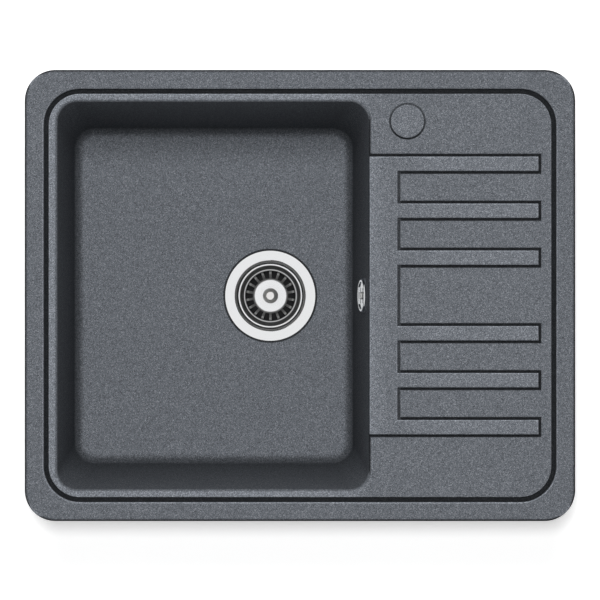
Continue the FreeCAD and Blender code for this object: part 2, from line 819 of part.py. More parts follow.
def make_basket():
    """The pressed basket: beaded rim, steep collar, narrow ledge, slotted wall and flat bottom."""
    body = new_body("basket")
    sheet = d.basket_sheet
    rim = d.cup_radius - d.basket_rim_gap
    top = -d.basket_top
    collar = top - d.basket_collar_height
    ledge_radius = d.basket_collar_radius - d.basket_ledge_width
    bottom = -d.basket_depth
    hole = d.stud_radius + d.stud_gap
    revolve(
        body,
        [
            (rim, top),
            (rim, top - d.basket_bead),
            (d.basket_collar_radius, collar - sheet),
            (ledge_radius, collar - sheet),
            (d.basket_bottom_radius, bottom, d.basket_bend + sheet),
            (hole, bottom),
            (hole, bottom + sheet),
            (d.basket_bottom_radius - sheet, bottom + sheet, d.basket_bend),
            (ledge_radius - sheet, collar),
            (d.basket_collar_radius - sheet, collar),
            (rim - d.basket_bead, top),
        ],
        "basket_section",
    )
    sketch = new_sketch(body, "basket_slot", level=collar)
    half_pitch_share = math.tan(math.radians(HALF_TURN / SLOT_COUNT))
    inner_half = d.slot_start_radius * half_pitch_share - d.bar_width / 2
    outer_half = d.slot_end_radius * half_pitch_share - d.bar_width / 2
    draw_outline(
        sketch,
        [
            (d.slot_start_radius, -inner_half),
            (d.slot_end_radius, -outer_half),
            (d.slot_end_radius, outer_half),
            (d.slot_start_radius, inner_half),
        ],
    )
    depth = d.basket_depth - d.basket_top - d.basket_collar_height + d.overrun
    repeat_round(body, extrude(body, sketch, depth, cut=True, down=True), SLOT_COUNT)
    return set_in_waste(body)


def make_basket_knob():
    """The turned knob with a waist, a wide foot and the stud that carries the stopper."""
    body = new_body("basket_knob")
    top = -(d.basket_top + d.knob_top_gap)
    foot = d.basket_sheet - d.basket_depth
    head_end = top - d.knob_head_height
    stud_end = -(
        d.basket_depth + d.stopper_thickness + d.washer_thickness + d.stopper_nut_height + d.stud_end
    )
    step = d.knob_radius - d.knob_waist_radius
    revolve(
        body,
        [
            (0, stud_end),
            (d.stud_radius, stud_end),
            (d.stud_radius, foot),
            (d.knob_foot_radius, foot),
            (d.knob_foot_radius, foot + d.knob_foot_height / 2),
            (d.knob_waist_radius, foot + d.knob_foot_height * 2),
            (d.knob_waist_radius, head_end - step),
            (d.knob_radius, head_end),
            (d.knob_radius, top, d.knob_top_radius),
            (0, top),
        ],
        "knob_section",
    )
    return set_in_waste(body)


def make_stopper():
    """The rubber plug under the basket, whose edge follows the cup's sloping seat."""
    body = new_body("stopper")
    top = -d.basket_depth
    bottom = top - d.stopper_thickness
    hole = d.stud_radius + d.stud_gap
    slope = (d.cup_radius - d.sump_radius) / d.seat_height

    def seat_radius(level):
        return d.cup_radius + slope * (level + d.cup_straight) - d.stopper_gap

    revolve(
        body,
        [(hole, bottom), (seat_radius(bottom), bottom), (seat_radius(top), top), (hole, top)],
        "stopper_section",
    )
    return set_in_waste(body)


def make_stopper_washer():
    """The steel washer under the rubber."""
    top = -(d.basket_depth + d.stopper_thickness)
    hole = d.stud_radius + d.stud_gap
    body = make_ring("stopper_washer", hole, d.washer_radius, top - d.washer_thickness, top)
    return set_in_waste(body)


def make_stopper_nut():
    """The hexagon nut on the stud."""
    body = new_body("stopper_nut")
    top = -(d.basket_depth + d.stopper_thickness + d.washer_thickness)
    bottom = top - d.stopper_nut_height
    prism = body.newObject("PartDesign::AdditivePrism", "nut_hexagon")
    corner = d.stopper_nut_flats / math.sqrt(3)
    prism.Polygon = HEXAGON_SIDES
    prism.Circumradius = corner.value
    prism.Height = d.stopper_nut_height.value
    bind(prism, Circumradius=corner, Height=d.stopper_nut_height)
    place(prism, z=bottom)
    add_cylinder(
        body, "nut_bore", d.stud_radius + d.stud_gap, d.stopper_nut_height, axis=(0, 0, 1), cut=True, z=bottom
    )
    return set_in_waste(body)


def make_screw(label, shank, length, head_radius, head_height, crown):
    """A round-headed screw: head above the origin, shank below."""
    body = new_body(label)
    revolve(
        body,
        [
            (0, -length),
            (shank, -length),
            (shank, 0),
            (head_radius, 0),
            (head_radius, head_height, crown),
            (0, head_height),
        ],
        f"{label}_section",
    )
    return body


def make_cup_screw():
    """The centre screw that clamps the cup, the floor and the waste housing together."""
    body = make_screw(
        "cup_screw",
        d.cup_screw_radius,
        d.cup_screw_length,
        d.cup_screw_head_radius,
        d.cup_screw_head_height,
        d.cup_screw_head_height / 2,
    )
    place(body, x=waste_x, z=floor_level - d.cup_depth)
    return body


def make_waste_insert():
    """The brass thread insert, drawn up against its shoulder in the housing's hub."""
    top = drain_level - d.insert_shoulder
    inner = d.cup_screw_radius + d.insert_gap
    outer = d.insert_radius - d.insert_gap
    return set_in_waste(make_ring("waste_insert", inner, outer, top - d.insert_length, top))


def make_waste_body():
    """The moulded housing: flange, skirt, cone, threaded outlet, overflow inlet and ribbed hub."""
    body = new_body("waste_body")
    flange_top = -(d.floor_thickness + d.waste_gasket_thickness)
    flange_end = flange_top - d.waste_flange_thickness
    skirt_end = flange_top - d.waste_skirt
    outlet_end = outlet_top_level - d.outlet_length
    outer = d.waste_radius + d.waste_wall
    bore = d.outlet_radius - d.outlet_wall
    revolve(
        body,
        [
            (0, outlet_end),
            (d.outlet_radius, outlet_end),
            (d.outlet_radius, outlet_top_level),
            (outer, skirt_end),
            (outer, flange_end),
            (d.waste_flange_radius, flange_end),
            (d.waste_flange_radius, flange_top),
            (0, flange_top),
        ],
        "housing_section",
    )
    add_cylinder(body, "inlet_tube", socket_radius, d.inlet_reach, as_size(SQUARE_TURN), z=-d.inlet_drop)
    revolve(
        body,
        [
            (0, outlet_end),
            (bore, outlet_end),
            (bore, outlet_top_level + d.waste_wall),
            (d.waste_radius, skirt_end + d.waste_wall),
            (d.waste_radius, flange_top),
            (0, flange_top),
        ],
        "housing_cavity",
        cut=True,
    )
    add_cylinder(
        body,
        "inlet_bore",
        d.pipe_radius - d.pipe_wall,
        d.inlet_reach,
        as_size(SQUARE_TURN),
        cut=True,
        z=-d.inlet_drop,
    )
    add_cylinder(
        body,
        "inlet_socket",
        socket_bore,
        d.pipe_insert,
        as_size(SQUARE_TURN),
        cut=True,
        x=d.inlet_reach - d.pipe_insert,
        z=-d.inlet_drop,
    )
    sketch = new_sketch(body, "hub_outline", level=hub_end_level)
    draw_circle(sketch, d.hub_radius)
    extrude(body, sketch, drain_level - hub_end_level)
    sketch = new_sketch(body, "hub_rib", level=hub_end_level)
    reach = bore + d.outlet_wall / 2
    start = d.hub_radius / 2
    draw_outline(sketch, rectangle(reach - start, d.hub_rib_width, x=(reach + start) / 2))
    repeat_round(body, extrude(body, sketch, d.hub_rib_height), HUB_RIB_COUNT)
    sketch = new_sketch(body, "hub_bore", level=hub_end_level)
    draw_circle(sketch, d.cup_screw_radius + d.cup_screw_gap)
    extrude(body, sketch, drain_level - hub_end_level, cut=True)
    sketch = new_sketch(body, "insert_pocket", level=hub_end_level)
    draw_circle(sketch, d.insert_radius)
    extrude(body, sketch, d.insert_length, cut=True)
    return set_in_waste(body)


def make_rosette():
    """The chromed overflow cover: raised ring, slotted plate and a sleeve into the wall."""
    body = new_body("overflow_rosette")
    sleeve = d.rosette_sleeve_radius
    bore = d.rosette_screw_radius + d.stud_gap
    revolve(
        body,
        [
            (bore, 0),
            (sleeve - d.rosette_sleeve_wall, 0),
            (sleeve - d.rosette_sleeve_wall, -d.rosette_sleeve_length),
            (sleeve, -d.rosette_sleeve_length),
            (sleeve, 0),
            (d.rosette_radius, 0),
            (d.rosette_radius, d.rosette_height, d.rosette_height / 2),
            (d.rosette_radius - d.rosette_ring, d.rosette_height, d.rosette_height / 4),
            (d.rosette_radius - d.rosette_ring, d.rosette_plate),
            (bore, d.rosette_plate),
        ],
        "rosette_section",
    )
    sketch = new_sketch(body, "rosette_slots")
    plate_radius = sleeve - d.rosette_sleeve_wall
    for side in (-1, 1):
        for number in range(1, ROSETTE_SLOTS_EACH_SIDE + 1):
            offset = d.rosette_slot_pitch * number * side
            half_chord = Size(
                math.sqrt(plate_radius.value**2 - offset.value**2),
                f"sqrt({plate_radius.text}^2 - {offset.text}^2)",
            )
            length = (half_chord - d.rosette_slot_inset) * 2
            draw_outline(sketch, rectangle(d.rosette_slot_width, length, x=offset))
    extrude(body, sketch, d.rosette_plate, cut=True)
    place(body, turn=face_in, axis=(0, -1, 0), **behind_seat(as_size(0)))
    return body


def make_rosette_screw():
    """The screw through the rosette into the elbow behind the wall."""
    body = make_screw(
        "rosette_screw",
        d.rosette_screw_radius,
        d.rosette_screw_length,
        d.rosette_screw_head_radius,
        d.rosette_screw_head_height,
        d.rosette_screw_head_height / 2,
    )
    place(body, turn=face_in, axis=(0, -1, 0), **behind_seat(-d.rosette_plate))
    return body


def make_overflow_gasket():
    """The rubber ring between the wall's outside and the elbow."""
    outer = d.elbow_flange_radius
    body = make_ring("overflow_gasket", d.overflow_hole_radius, outer, -d.elbow_gasket_thickness, as_size(0))
    place(body, turn=face_in, axis=(0, -1, 0), **behind_seat(overflow_wall))
    return body


elbow_point = behind_seat(overflow_wall + d.elbow_gasket_thickness + d.elbow_centre)


def make_overflow_elbow():
    """The moulded overflow head: flange, tilted chamber, upright socket and screw boss."""
    body = new_body("overflow_elbow")

    def along(distance):
        offset = distance - d.elbow_centre
        return {"x": out_x * offset, "z": out_z * offset}

    chamber = d.elbow_radius - d.elbow_wall
    inside = d.elbow_length - d.elbow_wall
    down = as_size(HALF_TURN)
    add_cylinder(
        body, "elbow_flange", d.elbow_flange_radius, d.elbow_flange_thickness, face_out, **along(as_size(0))
    )
    add_cylinder(body, "elbow_chamber", d.elbow_radius, d.elbow_length, face_out, **along(as_size(0)))
    add_cylinder(body, "elbow_socket", socket_radius, d.elbow_drop, down)
    add_cylinder(body, "elbow_hollow", chamber, inside, face_out, cut=True, **along(as_size(0)))
    add_cylinder(body, "elbow_outlet", d.pipe_radius - d.pipe_wall, d.elbow_drop, down, cut=True)
    add_cylinder(
        body,
        "elbow_pipe_seat",
        socket_bore,
        d.pipe_insert,
        down,
        cut=True,
        z=d.pipe_insert - d.elbow_drop,
    )
    boss = inside - d.elbow_flange_thickness + d.elbow_wall / 2
    add_cylinder(
        body, "elbow_boss", d.elbow_boss_radius, boss, face_out, **along(d.elbow_flange_thickness)
    )
    bore = d.rosette_screw_radius + d.stud_gap
    add_cylinder(
        body,
        "elbow_screw_hole",
        bore,
        boss - d.elbow_wall,
        face_out,
        cut=True,
        **along(d.elbow_flange_thickness),
    )
    place(body, **elbow_point)
    return body


def make_overflow_pipe():
    """The rigid overflow pipe: down behind the bowl, one bend, and across to the housing."""
    body = new_body("overflow_pipe")
    top = elbow_point["z"] - d.elbow_drop + d.pipe_insert - d.pipe_gap
    fall = top - (floor_level - d.inlet_drop)
    across = elbow_point["x"] - (waste_x + d.inlet_reach - d.pipe_insert + d.pipe_gap)
    path = new_sketch(body, "pipe_route", "XZ_Plane")
    draw_outline(path, [(0, 0), (0, -fall, d.pipe_bend_radius), (-across, -fall)], closed=False)
    sketch = new_sketch(body, "pipe_section")
    draw_circle(sketch, d.pipe_radius)
    draw_circle(sketch, d.pipe_radius - d.pipe_wall)
    doc.recompute()
    pipe = body.newObject("PartDesign::AdditivePipe", "pipe_sweep")
    pipe.Profile = sketch
    pipe.Spine = (path, [f"Edge{n}" for n in range(1, len(path.Shape.Edges) + 1)])
    place(body, x=elbow_point["x"], z=top)
    return body


def make_joint_nut(label):
    """A screwed nut with finger notches, drawn from the end of the socket that it grips."""
    body = new_body(label)
    inner = socket_radius + d.nut_gap
    outer = inner + d.nut_wall
    bottom = -(d.joint_seal_height + d.nut_cap)
    revolve(
        body,
        [
            (inner, d.nut_grip),
            (inner, -d.joint_seal_height),
            (socket_bore, -d.joint_seal_height),
            (socket_bore, bottom),
            (outer, bottom),
            (outer, d.nut_grip),
        ],
        f"{label}_section",
    )
    sketch = new_sketch(body, f"{label}_notch", level=bottom)
    draw_circle(sketch, d.nut_notch_radius, outer + d.nut_notch_radius / 2)
    repeat_round(body, extrude(body, sketch, d.nut_grip - bottom, cut=True), NUT_NOTCH_COUNT)
    return body


def make_joint_seal(label):
    """The rubber ring that the nut presses against the socket and the pipe."""
    body = new_body(label)
    inner = d.pipe_radius + d.joint_seal_gap
    bottom = -d.joint_seal_height
    revolve(
        body,
        [
            (inner, bottom),
            (socket_radius, bottom),
            (socket_radius, -d.joint_seal_chamfer),
            (socket_radius - d.joint_seal_chamfer, 0),
            (inner, 0),
        ],
        f"{label}_section",
    )
    return body


def make_pipe_joints():
    """The nut and seal at each end of the overflow pipe."""
    upper = {"x": elbow_point["x"], "z": elbow_point["z"] - d.elbow_drop}
    lower = {"x": waste_x + d.inlet_reach, "z": floor_level - d.inlet_drop}
    pieces = []
    for end, spot, turn in (("elbow", upper, 0), ("inlet", lower, SQUARE_TURN)):
        for piece in (make_joint_nut(f"{end}_nut"), make_joint_seal(f"{end}_seal")):
            place(piece, turn=as_size(turn), axis=(0, -1, 0), **spot)
            pieces.append(piece)
    return pieces


def make_clip_dowel(number, x, y):
    """A nylon dowel in a boss under the rim, with a collar against the boss."""
    body = new_body(f"dowel_{number}")
    bore = d.clip_screw_radius + d.dowel_gap
    revolve(
        body,
        [
            (bore, -d.dowel_collar_height),
            (d.dowel_collar_radius, -d.dowel_collar_height),
            (d.dowel_collar_radius, 0),
            (d.dowel_radius, 0),
            (d.dowel_radius, d.dowel_length),
            (bore, d.dowel_length),
        ],
        "dowel_section",
    )
    place(body, x, y, clip_under_level)
    return body


def make_clip_screw(number, x, y):
    """A long screw, head down, that carries a claw and reaches up into its dowel."""
    head_top = claw_level - d.clip_seat_gap
    length = clip_under_level + d.dowel_length - d.clip_screw_end - head_top
    body = make_screw(
        f"clip_screw_{number}",
        d.clip_screw_radius,
        length,
        d.clip_head_radius,
        d.clip_head_height,
        d.clip_head_height / 2,
    )
    place(body, x, y, head_top, as_size(HALF_TURN), (1, 0, 0))
    return body


def make_claw(label, x, y, turn):
    """A bent steel claw: a hub on the screw, an arm and a raised foot under the worktop."""
    body = new_body(label)
    strip = d.clip_strip
    bend = strip * math.tan(math.radians(SQUARE_TURN / 4))
    rise_end = d.clip_arm + d.clip_rise
    tip = rise_end + d.clip_foot
    sketch = new_sketch(body, f"{label}_side", "XZ_Plane")
    draw_outline(
        sketch,
        [
            (-d.clip_hub_reach, 0),
            (d.clip_arm, 0),
            (rise_end, d.clip_rise),
            (tip, d.clip_rise),
            (tip, d.clip_rise + strip),
            (rise_end - bend, d.clip_rise + strip),
            (d.clip_arm - bend, strip),
            (-d.clip_hub_reach, strip),
        ],
    )
    extrude(body, sketch, d.clip_width).Midplane = True
    upright = strip.value - edge_tolerance
    hub = -d.clip_hub_reach.value
    round_edges(
        body,
        d.clip_hub_radius,
        lambda edge: edge.BoundBox.ZLength > upright and abs(edge.CenterOfMass.x - hub) < edge_tolerance,
    )
    sketch = new_sketch(body, f"{label}_hole")
    draw_circle(sketch, d.clip_screw_radius + d.clip_running_gap)
    extrude(body, sketch, strip, cut=True)
    place(body, x, y, claw_level, as_size(turn))
    return body


def make_group(label, members):
    """Gather identical fasteners into one sub-part of separate solids."""
    group = doc.addObject("Part::Compound", label)
    group.Label = label
    group.Links = members
    return group


def make_clips():
    """Six dowels, six screws and six claws round the rim."""
    dowels = [make_clip_dowel(n, x, y) for n, (_, x, y, _) in enumerate(CLIPS)]
    screws = [make_clip_screw(n, x, y) for n, (_, x, y, _) in enumerate(CLIPS)]
    claws = [make_claw(label, x, y, turn) for label, x, y, turn in CLIPS]
    return [make_group("clip_dowels", dowels), make_group("clip_screws", screws), *claws]


def make_gaskets():
    """The rubber rings above and below the bowl's floor."""
    recess = d.flange_gasket_thickness + d.cup_sheet + d.flange_sink
    outer = d.flange_radius + d.flange_gasket_edge
    upper = make_ring(
        "flange_gasket", d.waste_hole_radius, outer, -recess, d.flange_gasket_thickness - recess
    )
    bottom = -(d.floor_thickness + d.waste_gasket_thickness)
    lower = make_ring(
        "waste_gasket", d.waste_hole_radius, d.waste_flange_radius, bottom, -d.floor_thickness
    )
    return [set_in_waste(upper), set_in_waste(lower)]


def write_parts(pieces):
    """Check every object and write each sub-part under its label."""
    doc.recompute()
    failed = [item.Label for item in doc.Objects if {"Invalid", "Error"} & set(item.State)]
    failed += [piece.Label for piece in pieces if piece.Shape.isNull() or not piece.Shape.isValid()]
    if failed:
        raise RuntimeError(f"failed objects: {failed}")
    os.makedirs("parts", exist_ok=True)
    for piece in pieces:
        piece.Shape.exportStep(f"parts/{piece.Label}.step")
        print(piece.Label, len(piece.Shape.Solids), round(piece.Shape.Volume, 1))


write_parts(
    [
        make_sink_body(),
        make_rim_seal(),
        make_strainer_cup(),
        *make_gaskets(),
        make_waste_body(),
        make_waste_insert(),
        make_cup_screw(),
        make_basket(),
        make_basket_knob(),
        make_stopper(),
        make_stopper_washer(),
        make_stopper_nut(),
        make_rosette(),
        make_rosette_screw(),
        make_overflow_gasket(),
        make_overflow_elbow(),
        make_overflow_pipe(),
        *make_pipe_joints(),
        *make_clips(),
    ]
)
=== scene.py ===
import json
import logging
import math
from collections.abc import Mapping, Sequence
from dataclasses import dataclass, field
from enum import Enum
from typing import Any

import bmesh
import bpy
from bpy.types import ID, Material, Mesh, Node, NodeSocket, NodeTree, Object, Scene
from mathutils import Matrix, Vector


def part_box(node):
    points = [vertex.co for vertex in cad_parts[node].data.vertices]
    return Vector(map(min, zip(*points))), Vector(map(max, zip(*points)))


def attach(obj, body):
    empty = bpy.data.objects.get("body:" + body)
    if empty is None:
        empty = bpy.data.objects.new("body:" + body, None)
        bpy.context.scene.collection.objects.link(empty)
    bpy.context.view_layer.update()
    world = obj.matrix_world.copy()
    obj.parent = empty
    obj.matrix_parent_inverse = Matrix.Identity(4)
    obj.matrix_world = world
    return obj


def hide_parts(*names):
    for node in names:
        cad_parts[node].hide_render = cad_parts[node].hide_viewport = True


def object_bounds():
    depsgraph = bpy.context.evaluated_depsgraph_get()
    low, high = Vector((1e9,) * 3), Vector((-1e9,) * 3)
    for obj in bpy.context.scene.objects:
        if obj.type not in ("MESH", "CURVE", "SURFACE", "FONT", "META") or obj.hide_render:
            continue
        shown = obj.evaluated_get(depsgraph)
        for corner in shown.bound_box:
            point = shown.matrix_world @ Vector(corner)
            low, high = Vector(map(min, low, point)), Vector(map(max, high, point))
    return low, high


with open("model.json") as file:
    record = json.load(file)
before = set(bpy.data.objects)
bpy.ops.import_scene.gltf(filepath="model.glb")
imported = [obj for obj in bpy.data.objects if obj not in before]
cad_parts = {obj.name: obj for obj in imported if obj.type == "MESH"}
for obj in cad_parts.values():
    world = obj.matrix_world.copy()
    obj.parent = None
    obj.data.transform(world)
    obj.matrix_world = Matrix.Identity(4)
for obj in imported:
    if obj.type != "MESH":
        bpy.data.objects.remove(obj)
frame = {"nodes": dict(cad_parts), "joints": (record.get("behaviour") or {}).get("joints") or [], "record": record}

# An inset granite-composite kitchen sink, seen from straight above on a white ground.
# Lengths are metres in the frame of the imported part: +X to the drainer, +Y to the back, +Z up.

Pair = tuple[float, float]
Colour = tuple[float, float, float, float]

LOG = logging.getLogger("granite_sink")
MM = 0.001
ROOT_BODY = "sink"
BASKET_BODY = "basket_set"
CAD_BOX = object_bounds()
WHITE = "#ffffff"
BOWL_MIDDLE = (0.0, 0.0, -0.14)
FILL_WIDTH, FILL_HEIGHT, FILL_LEVEL, FILL_REACH = 1.8, 0.24, 0.42, 2.2
MERGE_DISTANCE = 1e-6
FLAT_DEGREES = 0.2
SHARP_DEGREES = 30.0
BEVEL_STEPS = 2
LEAST_ROUGHNESS = 0.02
# Factors that keep a place's x and y and drop its height.
PLAN = (1.0, 1.0, 0.0)
# Sockets of a Mix node that mixes colours.
MIX_SHARE, MIX_FIRST, MIX_SECOND, MIX_RESULT = 0, 6, 7, 2


class RayKind(Enum):
    """The kinds of ray that see the white ground as white."""

    CAMERA = "Is Camera Ray"
    GLOSSY = "Is Glossy Ray"
    TRANSMISSION = "Is Transmission Ray"


class Shading(Enum):
    """Names of the mesh attributes that carry the casting's painted shade and painted highlight."""

    PAINTED_GROOVE_SHADE = "recess"
    PAINTED_STEEP_SHADE = "steep"
    EDGE = "edge"


class LampShape(Enum):
    """Outlines of the lamps."""

    ROUND = "ELLIPSE"
    STRIP = "RECTANGLE"


def linear(hex_colour: str) -> Colour:
    """Turn an sRGB hex colour to linear light.

    Args:
        hex_colour: Six hex digits after a hash sign.

    Returns:
        Red, green, blue and an alpha of one.
    """
    parts = [int(hex_colour[i : i + 2], 16) / 255 for i in (1, 3, 5)]
    red, green, blue = (p / 12.92 if p <= 0.04045 else ((p + 0.055) / 1.055) ** 2.4 for p in parts)
    return red, green, blue, 1.0


def add_node(
    tree: NodeTree, kind: str, inputs: Mapping[str | int, Any] | None = None, **settings: Any
) -> Node:
    """Add a node with its settings, and set or link its inputs.

    Args:
        tree: The node tree that gets the node.
        kind: The node's type name.
        inputs: Input name or number to a value, or to the output socket that feeds it.
        **settings: The node's own properties.

    Returns:
        The new node.
    """
    node = tree.nodes.new(kind)
    for name, value in settings.items():
        setattr(node, name, value)
    for key, value in (inputs or {}).items():
        if isinstance(value, NodeSocket):
            tree.links.new(value, node.inputs[key])
        else:
            node.inputs[key].default_value = value
    return node


def reckon(tree: NodeTree, operation: str, *terms: float | NodeSocket) -> NodeSocket:
    """The result of a Math node's operation on numbers and sockets."""
    return add_node(tree, "ShaderNodeMath", dict(enumerate(terms)), operation=operation).outputs[0]


def mix(tree: NodeTree, share: NodeSocket, none: Colour, full: Colour | NodeSocket) -> NodeSocket:
    """The mix of two colours, from none of the second to all of it."""
    sides = {MIX_SHARE: share, MIX_FIRST: none, MIX_SECOND: full}
    return add_node(tree, "ShaderNodeMix", sides, data_type="RGBA").outputs[MIX_RESULT]


def plan_of(tree: NodeTree, place: NodeSocket) -> NodeSocket:
    """A place without its height."""
    flat = {0: place, 1: PLAN}
    return add_node(tree, "ShaderNodeVectorMath", flat, operation="MULTIPLY").outputs["Vector"]


def between(
    tree: NodeTree,
    value: NodeSocket,
    none: float | NodeSocket,
    full: float | NodeSocket,
    span: Pair = (0.0, 1.0),
) -> NodeSocket:
    """Turn a value that runs over a span into one that runs over a range.

    Args:
        tree: The node tree.
        value: The value.
        none: What the span's start becomes.
        full: What the span's end becomes.
        span: The span, from zero to one if not given.

    Returns:
        The new value, held within the range.
    """
    start, end = span
    stretch = {"Value": value, "From Min": start, "From Max": end, "To Min": none, "To Max": full}
    return add_node(tree, "ShaderNodeMapRange", stretch).outputs["Result"]


@dataclass(frozen=True)
class Finish:
    """One real material and the way its surface was made."""

    name: str
    colour: str
    metallic: float = 0.0
    roughness: float = 0.5
    ior: float = 1.5
    gloss: float = 0.5
    spread: float = 0.08
    strength: float = 0.2
    bump_mm: float = 0.03

    def material(self) -> Material:
        """Make the material, once for each name.

        Returns:
            The material with its procedural nodes.
        """
        made = bpy.data.materials.get(self.name)
        if made is not None:
            return made
        made = bpy.data.materials.new(self.name)
        made.use_nodes = True
        shader = made.node_tree.nodes["Principled BSDF"]
        shader.inputs["Base Color"].default_value = linear(self.colour)
        shader.inputs["Metallic"].default_value = self.metallic
        shader.inputs["Roughness"].default_value = self.roughness
        if self.metallic == 0.0:
            shader.inputs["IOR"].default_value = self.ior
            shader.inputs["Specular IOR Level"].default_value = self.gloss
        self.pattern(made.node_tree, shader)
        return made

    def pattern(self, tree: NodeTree, shader: Node) -> None:
        """Add the surface's own pattern to a plain shader.

        Args:
            tree: The material's node tree.
            shader: The shader that the pattern feeds.
        """
        raise NotImplementedError

    def vary(self, tree: NodeTree, shader: Node, gloss: NodeSocket, height: NodeSocket) -> None:
        """Let a pattern vary the roughness and the height of the surface.

        Args:
            tree: The material's node tree.
            shader: The shader that the pattern feeds.
            gloss: The pattern that spreads the roughness.
            height: The pattern that gives the relief.
        """
        least = max(LEAST_ROUGHNESS, self.roughness - self.spread)
        most = min(1.0, self.roughness + self.spread)
        tree.links.new(between(tree, gloss, least, most), shader.inputs["Roughness"])
        relief = {"Height": height, "Strength": self.strength, "Distance": self.bump_mm * MM}
        bump = add_node(tree, "ShaderNodeBump", relief)
        tree.links.new(bump.outputs["Normal"], shader.inputs["Normal"])


@dataclass(frozen=True)
class PaintedLightLevel:
    """A level of the casting whose colour is scaled over a span along X, mostly painted highlight."""

    level: float
    span: Pair
    shades: Pair
    band_mm: float


@dataclass(frozen=True)
class RoundPatch:
    """A round or ring-shaped patch of the casting that is drawn lighter or darker than the rest."""

    centre: Pair
    radius_mm: float
    spread_mm: float
    shade: float


@dataclass(frozen=True)
class GraniteComposite(Finish):
    """Quartz grit in acrylic resin, cast in a mould.

    Gives the eye a matt dark grey ground with fine lighter and darker grains all over. Painted
    shade darkens the grooves and steep faces, and painted highlight lightens the land round the
    bowl, the comb and the edges. These shades are matched to the photographed sink.
    """

    spread: float = 0.1
    strength: float = 0.35
    bump_mm: float = 0.05
    dark: str = "#404347"
    light: str = "#999da4"
    ground_stops: tuple[float, ...] = (0.3, 0.7)
    grit_mm: float = 0.6
    cloud_mm: float = 60.0
    cloud_detail: float = 2.0
    cloud_range: Pair = (0.97, 1.03)
    # Painted shade in grooves and on steep faces, and painted highlight on edges.
    groove_shade: float = 0.115
    steep_shade: float = 0.1
    edge_shade: float = 1.6
    # The short gutters that run front to back get lighter painted shade.
    cross_shade: float = 0.3
    cross_half_mm: float = 2.4
    cross_places: tuple[float, ...] = ()
    cross_reach: float = 0.0
    levels: tuple[PaintedLightLevel, ...] = ()
    patches: tuple[RoundPatch, ...] = ()

    def pattern(self, tree: NodeTree, shader: Node) -> None:
        """Mix grains of three greys cell by cell, with a slight relief.

        Args:
            tree: The material's node tree.
            shader: The shader that the pattern feeds.
        """
        place = add_node(tree, "ShaderNodeTexCoord").outputs["Object"]
        # The grit is drawn nearly a pixel wide, coarser than the finest real grains, to show.
        grit = {"Vector": place, "Scale": 1 / (self.grit_mm * MM)}
        cells = add_node(tree, "ShaderNodeTexVoronoi", grit)
        chance = add_node(tree, "ShaderNodeSeparateColor", {"Color": cells.outputs["Color"]})
        greys = add_node(tree, "ShaderNodeValToRGB", {"Fac": chance.outputs["Red"]})
        stops = greys.color_ramp.elements
        stops[0].position, stops[0].color = 0.0, linear(self.dark)
        stops[1].position, stops[1].color = 1.0, linear(self.light)
        for position in self.ground_stops:
            stops.new(position).color = linear(self.colour)
        # The base colour takes the painted shade and highlight that shade() works out.
        both = {0: greys.outputs["Color"], "Scale": self.shade(tree, place)}
        shaded = add_node(tree, "ShaderNodeVectorMath", both, operation="SCALE")
        tree.links.new(shaded.outputs["Vector"], shader.inputs["Base Color"])
        self.vary(tree, shader, chance.outputs["Green"], chance.outputs["Blue"])

    def shade(self, tree: NodeTree, place: NodeSocket) -> NodeSocket:
        """Work out the casting's painted shade and highlight from place to place, over a faint cloud.

        Args:
            tree: The material's node tree.
            place: The object coordinates.

        Returns:
            A factor for the colour.
        """
        spot = add_node(tree, "ShaderNodeSeparateXYZ", {"Vector": place})
        scale = 1 / (self.cloud_mm * MM)
        drift = {"Vector": place, "Scale": scale, "Detail": self.cloud_detail}
        cloud = add_node(tree, "ShaderNodeTexNoise", drift).outputs["Fac"]
        factors = [between(tree, cloud, *self.cloud_range)]
        # Painted shade of grooves and steep faces and painted highlight of edges, from attributes.
        marks = {
            Shading.PAINTED_GROOVE_SHADE: self.groove(tree, spot),
            Shading.PAINTED_STEEP_SHADE: self.steep_shade,
            Shading.EDGE: self.edge_shade,
        }
        for name, full in marks.items():
            mark = add_node(tree, "ShaderNodeAttribute", attribute_name=name.value)
            factors.append(between(tree, mark.outputs["Fac"], 1.0, full))
        # Painted highlight on the land and the comb; the rim is drawn a little darker.
        for level in self.levels:
            on_level = reckon(tree, "COMPARE", spot.outputs["Z"], level.level, level.band_mm * MM)
            shade = between(tree, spot.outputs["X"], *level.shades, level.span)
            factors.append(between(tree, on_level, 1.0, shade))
        # The tap disc is drawn lighter; a ring round the flange is painted shadow.
        plan = plan_of(tree, place)
        for patch in self.patches:
            ends = {0: plan, 1: (*patch.centre, 0.0)}
            away = add_node(tree, "ShaderNodeVectorMath", ends, operation="DISTANCE")
            ring, spread = patch.radius_mm * MM, patch.spread_mm * MM
            on_patch = reckon(tree, "COMPARE", away.outputs["Value"], ring, spread)
            factors.append(between(tree, on_patch, 1.0, patch.shade))
        product = factors[0]
        for factor in factors[1:]:
            product = reckon(tree, "MULTIPLY", product, factor)
        return product

    def groove(self, tree: NodeTree, spot: Node) -> float | NodeSocket:
        """The painted shade of a groove's bottom, lighter in the short gutters that run front to back.

        Args:
            tree: The material's node tree.
            spot: The node that gives the object coordinates one by one.

        Returns:
            A factor for the colour at the bottom of a groove.
        """
        among_fingers = reckon(tree, "COMPARE", spot.outputs["Y"], 0.0, self.cross_reach)
        lift = between(tree, among_fingers, self.groove_shade, self.cross_shade)
        shade = self.groove_shade
        for place in self.cross_places:
            here = reckon(tree, "COMPARE", spot.outputs["X"], place, self.cross_half_mm * MM)
            shade = between(tree, here, shade, lift)
        return shade


